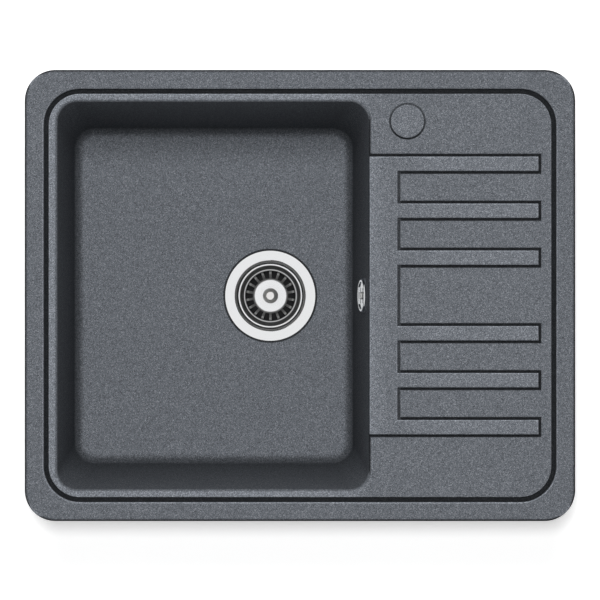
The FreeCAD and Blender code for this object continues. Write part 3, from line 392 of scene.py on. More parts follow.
@dataclass(frozen=True)
class SpunMetal(Finish):
    """Sheet metal pressed or turned about an upright axis, then polished.

    Gives the eye a bright mirror broken by very fine rings round the axis. Darker rings of painted
    reflection and shade on the upper side, matched to the photographed waste, set out its corners
    and steps.
    """

    metallic: float = 1.0
    spread: float = 0.06
    strength: float = 0.25
    bump_mm: float = 0.004
    axis_x: float = 0.0
    line_mm: float = 0.5
    line_detail: float = 3.0
    painted_dark_rings: Mapping[float, float] = field(default_factory=lambda: {0.0: 1.0, 60.0: 1.0})
    upper_side: Pair = (-0.06, 0.02)

    def pattern(self, tree: NodeTree, shader: Node) -> None:
        """Vary gloss, height and colour with the distance from the axis.

        Args:
            tree: The material's node tree.
            shader: The shader that the pattern feeds.
        """
        place = add_node(tree, "ShaderNodeTexCoord").outputs["Object"]
        shift = {"Vector": place, "Location": (-self.axis_x, 0.0, 0.0)}
        centred = add_node(tree, "ShaderNodeMapping", shift).outputs["Vector"]
        plan = plan_of(tree, centred)
        length = add_node(tree, "ShaderNodeVectorMath", {0: plan}, operation="LENGTH")
        reach = length.outputs["Value"]
        lines = {"W": reach, "Scale": 1 / (self.line_mm * MM), "Detail": self.line_detail}
        rings = add_node(tree, "ShaderNodeTexNoise", lines, noise_dimensions="1D").outputs["Fac"]
        self.vary(tree, shader, rings, rings)
        self.paint_dark_rings(tree, shader, reach)

    def paint_dark_rings(self, tree: NodeTree, shader: Node, reach: NodeSocket) -> None:
        """Paint dark rings of reflection and shade, from their level at each radius in millimetres.

        Args:
            tree: The material's node tree.
            shader: The shader that gets the colour.
            reach: The distance from the axis, in metres.
        """
        outer = max(self.painted_dark_rings)
        share = reckon(tree, "DIVIDE", reach, outer * MM)
        painted_dark_rings = add_node(tree, "ShaderNodeValToRGB", {"Fac": share})
        stops = painted_dark_rings.color_ramp.elements
        for number, (radius, level) in enumerate(self.painted_dark_rings.items()):
            position = radius / outer
            stop = stops[number] if number < len(stops) else stops.new(position)
            stop.position, stop.color = position, (level, level, level, 1.0)
        # The painted rings darken only faces that turn upwards.
        facing = add_node(tree, "ShaderNodeTexCoord").outputs["Normal"]
        up = add_node(tree, "ShaderNodeSeparateXYZ", {"Vector": facing}).outputs["Z"]
        upper = between(tree, up, 0.0, 1.0, self.upper_side)
        bare_colour = linear(self.colour)
        both = {0: bare_colour[:3], 1: painted_dark_rings.outputs["Color"]}
        ring_darkened = add_node(tree, "ShaderNodeVectorMath", both, operation="MULTIPLY")
        ring_painted_colour = mix(tree, upper, bare_colour, ring_darkened.outputs["Vector"])
        tree.links.new(ring_painted_colour, shader.inputs["Base Color"])


@dataclass(frozen=True)
class GrainedSurface(Finish):
    """A moulded, plated or foamed surface with an even fine grain.

    Gives the eye soft highlights with a little mottling in colour and gloss.
    """

    second: str = "#808080"
    grain_mm: float = 1.2
    grain_detail: float = 4.0

    def pattern(self, tree: NodeTree, shader: Node) -> None:
        """Mottle the colour, the gloss and the height with one noise.

        Args:
            tree: The material's node tree.
            shader: The shader that the pattern feeds.
        """
        place = add_node(tree, "ShaderNodeTexCoord").outputs["Object"]
        fine = {"Vector": place, "Scale": 1 / (self.grain_mm * MM), "Detail": self.grain_detail}
        grain = add_node(tree, "ShaderNodeTexNoise", fine).outputs["Fac"]
        mottle = mix(tree, grain, linear(self.colour), linear(self.second))
        tree.links.new(mottle, shader.inputs["Base Color"])
        self.vary(tree, shader, grain, grain)


def middle_of(node: str) -> Vector:
    """The middle of a CAD node's box, in metres."""
    low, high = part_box(node)
    return (low + high) / 2


def mount_place(name: str) -> Vector:
    """The place of a mount of the record, in metres."""
    mounts = frame["record"]["mounts"]
    return next(Vector(mount["pos_m"]) for mount in mounts if mount["name"] == name)


def ramp(value: float, low: float, high: float) -> float:
    """Where a value lies between two others, from zero to one."""
    return min(1.0, max(0.0, (value - low) / (high - low)))


@dataclass(frozen=True)
class SinkLevels:
    """Heights and edges of the casting that its painted shade and highlight need."""

    bowl_left: float = -269.0 * MM
    bowl_right: float = 76.5 * MM
    bowl_half_length: float = 215.0 * MM
    rim: float = 10.0 * MM
    platform: float = 7.5 * MM
    comb: float = 9.3 * MM
    comb_right: float = 268.0 * MM
    land_span: Pair = (bowl_right - 25.0 * MM, bowl_right)
    strip_span: Pair = (bowl_right, bowl_right + 22.0 * MM)
    finger_span: Pair = (108.0 * MM, 148.0 * MM)
    rim_span: Pair = (bowl_left, bowl_right)
    cross_places: tuple[float, ...] = (109.4 * MM,)
    cross_reach: float = 153.0 * MM
    tap_disc_mm: float = 18.2
    flange_mm: float = 54.0
    tap_reach: float = 24.0 * MM
    # Painted shade in the tap disc's groove, lighter at its back and full at its front.
    tap_marks: Pair = (0.6, 1.0)
    comb_half_length: float = 159.0 * MM
    groove_top: float = 7.45 * MM
    groove_full: float = 5.6 * MM
    groove_floor: float = 3.0 * MM
    ring_inset: float = 20.6 * MM
    # Where the deck's edges get painted highlight.
    edge_inset: float = 18.0 * MM
    edge_bottom: float = 7.0 * MM
    edge_tilt: Pair = (8.0, 65.0)
    # Painted shade on the rim's outer rounding, less on its upright sides.
    rim_edge_inset: float = 6.0 * MM
    rim_edge_bottom: float = 0.0
    rim_edge_tilt: Pair = (6.0, 40.0)
    rim_side_tilt: Pair = (66.0, 86.0)
    rim_side_share: float = 0.2
    # Painted shade on the bowl's walls, darker towards the foot.
    wall_tilt: Pair = (2.0, 34.0)
    wall_marks: Pair = (0.63, 0.04)
    bowl_floor: float = -180.0 * MM
    lip: float = 6.0 * MM
    bowl_corner: float = 22.0 * MM

    def recess(self, spot: Vector) -> float:
        """How deep a point lies in a groove of the deck, from none to full, for its painted shade.

        Args:
            spot: A point of the casting.

        Returns:
            Zero on the deck, the rim and in the bowl, one at the bottom of a groove.
        """
        if spot.z < self.groove_floor or not self.on_deck(spot, self.ring_inset):
            return 0.0
        depth = ramp(spot.z, self.groove_top, self.groove_full)
        from_tap = spot.xy - TAP_PLACE.xy
        if from_tap.length > self.tap_reach:
            return depth
        # Round the tap disc the groove's painted shade is darker towards the front.
        back, front = self.tap_marks
        return depth * (back + (front - back) * ramp(-from_tap.y / from_tap.length, -1.0, 1.0))

    def steep(self, spot: Vector, normal: Vector) -> float:
        """How much painted shade a steep face gets, on the bowl's wall and the rim's outer edge.

        Args:
            spot: A point of the casting.
            normal: The surface's direction there.

        Returns:
            Zero on level faces, most at the foot of the wall and on the rim's rounding.
        """
        tilt = self.tilt(normal)
        if self.in_bowl(spot):
            height = ramp(spot.z, self.bowl_floor, self.platform)
            foot, top = self.wall_marks
            return ramp(tilt, *self.wall_tilt) * (foot + (top - foot) * height)
        if spot.z < self.rim_edge_bottom or self.inside_rim(spot, self.rim_edge_inset):
            return 0.0
        turned_down = ramp(tilt, *self.rim_side_tilt)
        return ramp(tilt, *self.rim_edge_tilt) * (1.0 + (self.rim_side_share - 1.0) * turned_down)

    def painted_edge_highlight(self, spot: Vector, normal: Vector) -> float:
        """How much painted highlight an edge of the deck gets, most where it faces the back.

        Args:
            spot: The middle of a face.
            normal: The face's direction.

        Returns:
            Zero away from edges, up to one on an edge.
        """
        least, most = self.edge_tilt
        on_edge = least < self.tilt(normal) < most and spot.z > self.edge_bottom
        among_fingers = abs(spot.y) < self.comb_half_length
        beside_comb = self.bowl_right < spot.x < self.comb_right and among_fingers
        in_gutter = beside_comb and spot.z < self.platform
        if not on_edge or in_gutter or not self.on_deck(spot, self.edge_inset):
            return 0.0
        return ramp(normal.y / math.hypot(normal.x, normal.y), -1.0, 1.0)

    def tilt(self, normal: Vector) -> float:
        """The angle between a face's direction and straight up, in degrees."""
        return math.degrees(normal.angle(Vector((0.0, 0.0, 1.0))))

    def inside_rim(self, spot: Vector, inset: float) -> bool:
        """Whether a point lies inside a line round the rim.

        Args:
            spot: A point of the casting.
            inset: How far inside the rim's edge the line runs.

        Returns:
            True inside the line.
        """
        low, high = CAD_BOX
        inside_x = low.x + inset < spot.x < high.x - inset
        return inside_x and low.y + inset < spot.y < high.y - inset

    def in_bowl(self, spot: Vector) -> bool:
        """Whether a point lies on the inner faces of the bowl.

        Args:
            spot: A point of the casting.

        Returns:
            True between the bowl's floor and the platform.
        """
        in_x = self.bowl_left < spot.x < self.bowl_right
        in_z = self.bowl_floor < spot.z < self.platform
        return in_x and in_z and abs(spot.y) < self.bowl_half_length

    def on_deck(self, spot: Vector, inset: float) -> bool:
        """Whether a point lies outside the bowl and inside a line round the rim.

        Args:
            spot: A point of the casting.
            inset: How far inside the rim's edge the line runs.

        Returns:
            True on the deck.
        """
        return self.inside_rim(spot, inset) and not self.in_mouth(spot)

    def in_mouth(self, spot: Vector) -> bool:
        """Whether a point lies over the bowl or on its lip, seen from above.

        Args:
            spot: A point of the casting.

        Returns:
            True inside the lip's rounded outline, which has no lip on the drainer's side.
        """
        half_width = (self.bowl_right - self.bowl_left) / 2
        from_middle = abs(spot.x - self.bowl_left - half_width)
        past_x = max(0.0, from_middle - half_width + self.bowl_corner)
        past_y = max(0.0, abs(spot.y) - self.bowl_half_length + self.bowl_corner)
        return spot.x < self.bowl_right and math.hypot(past_x, past_y) < self.bowl_corner + self.lip


LEVELS = SinkLevels()
WASTE_AXIS = middle_of("strainer_cup")
TAP_PLACE = mount_place("tap_knockout")

GRANITE = GraniteComposite(
    "cast_granite_composite",
    "#666a70",
    roughness=0.7,
    gloss=0.03,
    cross_places=LEVELS.cross_places,
    cross_reach=LEVELS.cross_reach,
    # Painted highlight on the land, the comb's strip and the fingers; the rim is a little darker.
    levels=(
        PaintedLightLevel(LEVELS.platform, LEVELS.land_span, shades=(1.41, 1.0), band_mm=0.9),
        PaintedLightLevel(LEVELS.comb, LEVELS.strip_span, shades=(1.3, 1.05), band_mm=0.35),
        PaintedLightLevel(LEVELS.comb, LEVELS.finger_span, shades=(1.0, 1.13), band_mm=0.35),
        PaintedLightLevel(LEVELS.rim, LEVELS.rim_span, shades=(0.96, 0.96), band_mm=0.2),
    ),
    # The tap disc is drawn lighter; the ring round the waste's flange is painted shadow.
    patches=(
        RoundPatch(tuple(TAP_PLACE.xy), radius_mm=0.0, spread_mm=LEVELS.tap_disc_mm, shade=1.12),
        RoundPatch(tuple(WASTE_AXIS.xy), radius_mm=LEVELS.flange_mm, spread_mm=1.4, shade=0.25),
    ),
)
# Dark rings on the steel parts are painted reflection and shade in their corners and steps.
STAINLESS = SpunMetal(
    "pressed_stainless_steel",
    "#e6e7e8",
    roughness=0.13,
    axis_x=WASTE_AXIS.x,
    painted_dark_rings={0.0: 0.35, 36.0: 0.22, 38.4: 1.0, 39.4: 0.5, 40.8: 0.3, 41.8: 1.0, 60.0: 1.0},
)
PIERCED = SpunMetal(
    "pierced_stainless_steel",
    "#eaebec",
    roughness=0.28,
    axis_x=WASTE_AXIS.x,
    painted_dark_rings={
        0.0: 1.0,
        18.6: 1.0,
        20.4: 0.35,
        22.0: 0.3,
        25.4: 0.5,
        26.4: 1.0,
        28.0: 1.0,
        29.0: 0.2,
        29.8: 0.2,
        30.4: 0.55,
        31.0: 0.55,
        31.6: 0.08,
        35.4: 0.08,
        36.4: 1.0,
        60.0: 1.0,
    },
)
TURNED = SpunMetal(
    "turned_stainless_steel",
    "#ecebe9",
    roughness=0.38,
    axis_x=WASTE_AXIS.x,
    line_mm=0.3,
    painted_dark_rings={0.0: 1.0, 5.8: 1.0, 6.2: 0.85, 8.5: 0.9, 10.4: 1.0, 60.0: 1.0},
)
CHROME = GrainedSurface(
    "chromed_brass_cover", "#dfe1e3", metallic=1.0, roughness=0.08, spread=0.03, second="#d4d6d9"
)
ZINC = GrainedSurface(
    "zinc_plated_steel",
    "#b9b8ae",
    metallic=1.0,
    roughness=0.34,
    strength=0.3,
    second="#9c9d98",
    grain_mm=2.4,
)
BRASS = GrainedSurface("turned_brass", "#c9a24e", metallic=1.0, roughness=0.28, second="#b78f3f")
RUBBER = GrainedSurface(
    "moulded_black_rubber", "#161617", roughness=0.62, gloss=0.2, second="#1f1f20", grain_mm=0.8
)
FOAM = GrainedSurface(
    "closed_cell_foam",
    "#2b2c2e",
    roughness=0.9,
    strength=0.6,
    bump_mm=0.2,
    second="#3a3b3d",
    grain_mm=1.0,
)
POLYPROPYLENE = GrainedSurface(
    "moulded_white_polypropylene", "#e6e6e1", roughness=0.42, second="#dededa", grain_mm=1.6
)
NYLON = GrainedSurface(
    "moulded_grey_nylon", "#a4a7a9", roughness=0.48, second="#989b9e", grain_mm=1.0
)


def in_scene(name: str, content: ID) -> Object:
    """Put a mesh, a light or a camera in the scene.

    Args:
        name: The object's name.
        content: What the object holds.

    Returns:
        The object, not yet a piece.
    """
    made = bpy.data.objects.new(name, content)
    bpy.context.scene.collection.objects.link(made)
    return made


def new_piece(
    name: str, mesh: Mesh, body: str, finish: Finish, replaced: Sequence[str] = ()
) -> None:
    """Put a finished mesh in the scene as a piece of the object.

    Args:
        name: The piece's name.
        mesh: Its mesh, already in place.
        body: The CAD body that it rides on.
        finish: What it is made of.
        replaced: CAD nodes that it stands for.
    """
    mesh.name = name
    mesh.materials.clear()
    mesh.materials.append(finish.material())
    piece = in_scene(name, mesh)
    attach(piece, body)
    if replaced:
        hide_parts(*replaced)
    LOG.info("%s rides on %s, %d faces", name, body, len(mesh.polygons))


def evaluated_mesh(carrier: Object) -> Mesh:
    """Turn an object with modifiers into a plain mesh, and remove the object.

    Args:
        carrier: The object to evaluate.

    Returns:
        The evaluated mesh.
    """
    graph = bpy.context.evaluated_depsgraph_get()
    mesh = bpy.data.meshes.new_from_object(carrier.evaluated_get(graph), depsgraph=graph)
    bpy.data.objects.remove(carrier)
    return mesh


def smooth_copy(node: str, edge_mm: float = 0.0) -> Mesh:
    """Copy a CAD node's mesh, join its loose triangles and shade its round faces smoothly.

    Args:
        node: The CAD node.
        edge_mm: Width of the rounding on its sharp edges, none at zero.

    Returns:
        A mesh in the node's place.
    """
    sharp = math.radians(SHARP_DEGREES)
    mesh = frame["nodes"][node].data.copy()
    work = bmesh.new()
    work.from_mesh(mesh)
    bmesh.ops.remove_doubles(work, verts=work.verts, dist=MERGE_DISTANCE)
    bmesh.ops.dissolve_limit(
        work,
        angle_limit=math.radians(FLAT_DEGREES),
        verts=work.verts,
        edges=work.edges,
        delimit={"NORMAL"},
    )
    work.to_mesh(mesh)
    work.free()
    mesh.shade_smooth()
    mesh.set_sharp_from_angle(angle=sharp)
    carrier = in_scene(f"{node}_work", mesh)
    if edge_mm:
        bevel = carrier.modifiers.new("edge_break", "BEVEL")
        bevel.width = edge_mm * MM
        bevel.segments = BEVEL_STEPS
        bevel.limit_method = "ANGLE"
        bevel.angle_limit = sharp
    weigh = carrier.modifiers.new("even_shading", "WEIGHTED_NORMAL")
    weigh.keep_sharp = True
    return evaluated_mesh(carrier)


def grow(points: Sequence[Vector], tree: NodeTree, sizes: Mapping[str, Any]) -> Mesh:
    """Run a Geometry Nodes tree on loose points.

    Args:
        points: Where the tree sets its copies.
        tree: The node tree.
        sizes: Values for its named inputs.

    Returns:
        The result as a plain mesh.
    """
    seed = bpy.data.meshes.new("grow_points")
    seed.from_pydata(points, [], [])
    carrier = in_scene("grow_points", seed)
    modifier = carrier.modifiers.new("grow", "NODES")
    modifier.node_group = tree
    for item in tree.interface.items_tree:
        if item.in_out == "INPUT" and item.name in sizes:
            modifier[item.identifier] = sizes[item.name]
    return evaluated_mesh(carrier)


def new_tree(name: str, sizes: Sequence[str]) -> tuple[NodeTree, Node]:
    """Start a Geometry Nodes tree with a geometry, named sizes and a material as inputs.

    Args:
        name: The tree's name.
        sizes: Names of its sizes.

    Returns:
        The tree and its input node.
    """
    tree = bpy.data.node_groups.new(name, "GeometryNodeTree")
    kinds = {"Geometry": "NodeSocketGeometry", **dict.fromkeys(sizes, "NodeSocketFloat")}
    kinds["Material"] = "NodeSocketMaterial"
    for label, kind in kinds.items():
        tree.interface.new_socket(label, in_out="INPUT", socket_type=kind)
    tree.interface.new_socket("Geometry", in_out="OUTPUT", socket_type="NodeSocketGeometry")
    return tree, add_node(tree, "NodeGroupInput")


def end_tree(tree: NodeTree, start: Node, copied: NodeSocket) -> None:
    """Set a shape on every point, make it real, give it its material and close the tree.

    Args:
        tree: The tree.
        start: Its input node.
        copied: The shape that each point gets.
    """
    spots = {"Points": start.outputs["Geometry"], "Instance": copied}
    copies = add_node(tree, "GeometryNodeInstanceOnPoints", spots).outputs["Instances"]
    real = add_node(tree, "GeometryNodeRealizeInstances", {"Geometry": copies}).outputs["Geometry"]
    coat = {"Geometry": real, "Material": start.outputs["Material"]}
    dressed = add_node(tree, "GeometryNodeSetMaterial", coat).outputs["Geometry"]
    add_node(tree, "NodeGroupOutput", {"Geometry": dressed})


@dataclass(frozen=True)
class Thread:
    """A screw thread wound round upright stems."""

    radius_mm: float
    pitch_mm: float
    ridge_mm: float
    steps: int = 24
    ridge_sides: int = 4

    def mesh(self, feet: Sequence[Vector], length: float, finish: Finish) -> Mesh:
        """Wind the thread upwards from each foot.

        Args:
            feet: Points on the stems' axes where the thread starts.
            length: How far up it goes, in metres.
            finish: What the thread is made of.

        Returns:
            One mesh with every winding.
        """
        tree, start = new_tree("wound_thread", ("Radius", "Pitch", "Length", "Ridge"))
        turns = reckon(tree, "DIVIDE", start.outputs["Length"], start.outputs["Pitch"])
        path = {
            "Resolution": self.steps,
            "Rotations": turns,
            "Start Radius": start.outputs["Radius"],
            "End Radius": start.outputs["Radius"],
            "Height": start.outputs["Length"],
        }
        helix = add_node(tree, "GeometryNodeCurveSpiral", path).outputs["Curve"]
        outline = {"Resolution": self.ridge_sides, "Radius": start.outputs["Ridge"]}
        section = add_node(tree, "GeometryNodeCurvePrimitiveCircle", outline).outputs["Curve"]
        swept = {"Curve": helix, "Profile Curve": section, "Fill Caps": True}
        ridge = add_node(tree, "GeometryNodeCurveToMesh", swept)
        end_tree(tree, start, ridge.outputs["Mesh"])
        sizes = {
            "Radius": self.radius_mm * MM,
            "Pitch": self.pitch_mm * MM,
            "Length": length,
            "Ridge": self.ridge_mm * MM,
            "Material": finish.material(),
        }
        return grow(feet, tree, sizes)


@dataclass(frozen=True)
class Teeth:
    """A row of short pointed teeth that bite a worktop from below."""

    count: int = 5
    spacing_mm: float = 2.4
    width_mm: float = 1.1
    height_mm: float = 0.9
    sides: int = 4

    def mesh(self, middle: Vector, along: Vector, finish: Finish) -> Mesh:
        """Stand the teeth in a row.

        Args:
            middle: The row's middle, on the face that carries it.
            along: Unit vector along the row.
            finish: What the teeth are made of.

        Returns:
            One mesh with every tooth.
        """
        tree, start = new_tree("claw_teeth", ("Width", "Height"))
        point = {
            "Vertices": self.sides,
            "Radius Top": 0.0,
            "Radius Bottom": start.outputs["Width"],
            "Depth": start.outputs["Height"],
        }
        tooth = add_node(tree, "GeometryNodeMeshCone", point)
        end_tree(tree, start, tooth.outputs["Mesh"])
        offsets = [(n - (self.count - 1) / 2) * self.spacing_mm * MM for n in range(self.count)]
        sizes = {
            "Width": self.width_mm * MM,
            "Height": self.height_mm * MM,
            "Material": finish.material(),
        }
        return grow([middle + along * offset for offset in offsets], tree, sizes)


@dataclass(frozen=True)
class CrossRecess:
    """A cross recess for the screwdriver in a screw's head."""

    span_mm: float
    slit_mm: float
    depth_mm: float

    def cut(self, mesh: Mesh, heads: Sequence[Matrix]) -> Mesh:
        """Cut the recess into screw heads.

        Args:
            mesh: The screws' mesh.
            heads: For each head, the place of its top with +Z out of the head.

        Returns:
            The cut mesh.
        """
        span, slit = self.span_mm * MM, self.slit_mm * MM
        # The cutter is centred on the head's top, so only half of it lies in the head.
        tall = 2 * self.depth_mm * MM
        cutter = bmesh.new()
        for head in heads:
            for length, width in ((span, slit), (slit, span)):
                size = Matrix.Diagonal((length, width, tall, 1.0))
                bmesh.ops.create_cube(cutter, size=1.0, matrix=head @ size)
        cutter_mesh = bpy.data.meshes.new("cross_cutter")
        cutter.to_mesh(cutter_mesh)
        cutter.free()
        tool = in_scene("cross_cutter", cutter_mesh)
        carrier = in_scene("screw_work", mesh)
        cross = carrier.modifiers.new("cross", "BOOLEAN")
        cross.operation = "DIFFERENCE"
        cross.solver = "EXACT"
        cross.use_self = True
        cross.object = tool
        made = evaluated_mesh(carrier)
        bpy.data.objects.remove(tool)
        return made


@dataclass(frozen=True)
class Skin:
    """A CAD node that gets a smooth skin, with its slot, finish and edge rounding."""

    node: str
    slot: str
    finish: Finish
    edge_mm: float = 0.0
    body: str = ROOT_BODY


@dataclass
class SubAssembly:
    """Pieces that are built and dressed together."""

    meshes: dict[str, Mesh] = field(default_factory=dict, init=False)

    def skins(self) -> Sequence[Skin]:
        """The CAD nodes of this sub-assembly with their finishes."""
        raise NotImplementedError

    def build(self) -> None:
        """Make the meshes of the skins."""
        self.meshes = {skin.node: smooth_copy(skin.node, skin.edge_mm) for skin in self.skins()}

    def dress(self) -> None:
        """Finish the skins and let them ride on their bodies."""
        for skin in self.skins():
            name = f"{skin.node}_skin"
            new_piece(name, self.meshes[skin.node], skin.body, skin.finish, [skin.node])


@dataclass
class Casting(SubAssembly):
    """The sink itself and the foam strip under its rim."""

    edge_mm: float = 1.0

    def skins(self) -> Sequence[Skin]:
        """The casting and its seal."""
        return (Skin("sink_body", "granite", GRANITE, self.edge_mm), Skin("rim_seal", "foam", FOAM))

    def build(self) -> None:
        """Make the meshes; mark painted shade in grooves and on steep faces, and edge highlight."""
        super().build()
        mesh = self.meshes["sink_body"]
        grooves = mesh.attributes.new(Shading.PAINTED_GROOVE_SHADE.value, "FLOAT", "POINT")
        steeps = mesh.attributes.new(Shading.PAINTED_STEEP_SHADE.value, "FLOAT", "POINT")
        for vertex in mesh.vertices:
            grooves.data[vertex.index].value = LEVELS.recess(vertex.co)
            steeps.data[vertex.index].value = LEVELS.steep(vertex.co, vertex.normal)
        edges = mesh.attributes.new(Shading.EDGE.value, "FLOAT", "FACE")
        for face in mesh.polygons:
            edges.data[face.index].value = LEVELS.painted_edge_highlight(face.center, face.normal)


@dataclass
class StrainerWaste(SubAssembly):
    """The strainer cup, the housing under the floor and what clamps them."""

    edge_mm: float = 0.25
    outlet_thread: Thread = Thread(radius_mm=23.7, pitch_mm=2.3, ridge_mm=0.55, steps=64)
    thread_length_mm: float = 24.0
    thread_lift_mm: float = 1.5
    cross: CrossRecess = CrossRecess(span_mm=7.0, slit_mm=1.4, depth_mm=1.6)

    def skins(self) -> Sequence[Skin]:
        """List the pieces fixed at the waste.

        Returns:
            Their skins.
        """
        return (
            Skin("strainer_cup", "steel", STAINLESS, self.edge_mm),
            Skin("cup_screw", "polished_steel", TURNED),
            Skin("waste_body", "plastic", POLYPROPYLENE, self.edge_mm),
            Skin("waste_insert", "brass", BRASS),
            Skin("flange_gasket", "rubber", RUBBER),
            Skin("waste_gasket", "rubber", RUBBER),
        )

    def build(self) -> None:
        """Make the meshes, the cross in the screw's head and the thread on the outlet."""
        super().build()
        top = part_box("cup_screw")[1].z
        head = Matrix.Translation((WASTE_AXIS.x, WASTE_AXIS.y, top))
        self.meshes["cup_screw"] = self.cross.cut(self.meshes["cup_screw"], [head])
        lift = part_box("waste_body")[0].z + self.thread_lift_mm * MM
        foot = Vector((WASTE_AXIS.x, WASTE_AXIS.y, lift))
        length = self.thread_length_mm * MM
        self.meshes["outlet_thread"] = self.outlet_thread.mesh([foot], length, POLYPROPYLENE)

    def dress(self) -> None:
        """Finish the skins and the outlet's thread."""
        super().dress()
        name = "outlet_thread"
        new_piece(name, self.meshes[name], ROOT_BODY, POLYPROPYLENE)


@dataclass
class Basket(SubAssembly):
    """The lift-out basket with its knob and stopper."""

    edge_mm: float = 0.2

    def skins(self) -> Sequence[Skin]:
        """List what lifts out together.

        Returns:
            The skins.
        """
        edge = self.edge_mm
        return (
            Skin("basket", "steel", PIERCED, edge, BASKET_BODY),
            Skin("basket_knob", "polished_steel", TURNED, edge, BASKET_BODY),
            Skin("stopper", "rubber", RUBBER, edge, BASKET_BODY),
            Skin("stopper_washer", "steel", STAINLESS, 0.0, BASKET_BODY),
            Skin("stopper_nut", "zinc", ZINC, edge, BASKET_BODY),
        )


@dataclass
class Overflow(SubAssembly):
    """The overflow cover in the bowl, the elbow behind the wall and the pipe to the waste."""

    edge_mm: float = 0.2

    def skins(self) -> Sequence[Skin]:
        """List the overflow's pieces.

        Returns:
            Their skins.
        """
        edge = self.edge_mm
        plastic = ("overflow_elbow", "overflow_pipe", "elbow_nut", "inlet_nut")
        rubber = ("overflow_gasket", "elbow_seal", "inlet_seal")
        return (
            Skin("overflow_rosette", "chrome", CHROME, edge),
            Skin("rosette_screw", "polished_steel", TURNED, edge),
            *(Skin(node, "plastic", POLYPROPYLENE, edge) for node in plastic),
            *(Skin(node, "rubber", RUBBER) for node in rubber),
        )


@dataclass
class WorktopClips(SubAssembly):
    """The six claws under the rim with their screws and dowels."""

    edge_mm: float = 0.3
    teeth: Teeth = Teeth()
    tooth_inset_mm: float = 1.4
    screw_thread: Thread = Thread(radius_mm=2.4, pitch_mm=0.8, ridge_mm=0.32, steps=16)
    thread_gap_mm: float = 0.6
    claw_strip_mm: float = 2.0
    cross: CrossRecess = CrossRecess(span_mm=5.6, slit_mm=1.2, depth_mm=1.5)

    def hinges(self) -> list[dict[str, Any]]:
        """The joints that carry the claws."""
        return [joint for joint in frame["joints"] if joint["type"] == "hinge"]

    def claw(self, joint: Mapping[str, Any]) -> str:
        """The node of the claw that a joint carries."""
        return joint["child"].replace("claw", "clip")

    def skins(self) -> Sequence[Skin]:
        """List the screws, dowels and claws.

        Returns:
            Their skins.
        """
        edge = self.edge_mm
        hinges = self.hinges()
        return (
            Skin("clip_screws", "zinc", ZINC),
            Skin("clip_dowels", "nylon", NYLON, edge),
            *(Skin(self.claw(joint), "zinc", ZINC, edge, joint["child"]) for joint in hinges),
        )

    def build(self) -> None:
        """Make the meshes, the screws' crosses and threads, and the claws' teeth."""
        super().build()
        pivots = [Vector(joint["pos_m"]) for joint in self.hinges()]
        screw_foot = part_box("clip_screws")[0].z
        half_turn = Matrix.Rotation(math.pi, 4, "X")
        heads = [Matrix.Translation((spot.x, spot.y, screw_foot)) @ half_turn for spot in pivots]
        self.meshes["clip_screws"] = self.cross.cut(self.meshes["clip_screws"], heads)
        gap = self.thread_gap_mm * MM
        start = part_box(self.claw(self.hinges()[0]))[0].z + self.claw_strip_mm * MM + gap
        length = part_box("clip_dowels")[0].z - gap - start
        feet = [Vector((spot.x, spot.y, start)) for spot in pivots]
        self.meshes["screw_threads"] = self.screw_thread.mesh(feet, length, ZINC)
        for joint, pivot in zip(self.hinges(), pivots):
            self.meshes[f"{joint['child']}_teeth"] = self.claw_teeth(self.claw(joint), pivot)

    def claw_teeth(self, node: str, pivot: Vector) -> Mesh:
        """Set teeth near the tip of a claw.

        Args:
            node: The claw's node.
            pivot: A point on its hinge.

        Returns:
            The teeth in place.
        """
        low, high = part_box(node)
        reach = (low + high) / 2 - pivot
        inset = self.tooth_inset_mm * MM
        if abs(reach.x) > abs(reach.y):
            tip_x = high.x - inset if reach.x > 0 else low.x + inset
            return self.teeth.mesh(Vector((tip_x, pivot.y, high.z)), Vector((0, 1, 0)), ZINC)
        tip_y = high.y - inset if reach.y > 0 else low.y + inset
        return self.teeth.mesh(Vector((pivot.x, tip_y, high.z)), Vector((1, 0, 0)), ZINC)

    def dress(self) -> None:
        """Finish the clips, their threads and teeth."""
        super().dress()
        new_piece("clip_screw_threads", self.meshes["screw_threads"], ROOT_BODY, ZINC)
        for joint in self.hinges():
            name = f"{joint['child']}_teeth"
            new_piece(name, self.meshes[name], joint["child"], ZINC)


@dataclass(frozen=True)
class Lamp:
    """A soft lamp that points at a spot of the sink."""

    name: str
    spot: tuple[float, float, float]
    width: float
    height: float
    level: float
    shape: LampShape = LampShape.ROUND
    target: tuple[float, float, float] = BOWL_MIDDLE

    def build(self) -> None:
        """Hang the lamp; its level is the brightness that it gives a white card at the target."""
        away = Vector(self.spot) - Vector(self.target)
        light = bpy.data.lights.new(self.name, "AREA")
        light.shape = self.shape.value
        light.size = self.width
        light.size_y = self.height
        light.energy = self.level * math.pi**2 * away.length_squared
        lamp = in_scene(self.name, light)
        lamp.location = self.spot
        lamp.rotation_mode = "QUATERNION"
        lamp.rotation_quaternion = (-away).to_track_quat("-Z", "Y")
        # The lamps light surfaces, and metals mirror only the white surround.
        lamp.visible_camera = False
        lamp.visible_glossy = False


def fill_lamp(side: str, x: float, y: float) -> Lamp:
    """A low strip that lights the sink's outer faces from one side."""
    spot = (x * FILL_REACH, y * FILL_REACH, BOWL_MIDDLE[2])
    return Lamp(f"{side}_fill", spot, FILL_WIDTH, FILL_HEIGHT, FILL_LEVEL, LampShape.STRIP)


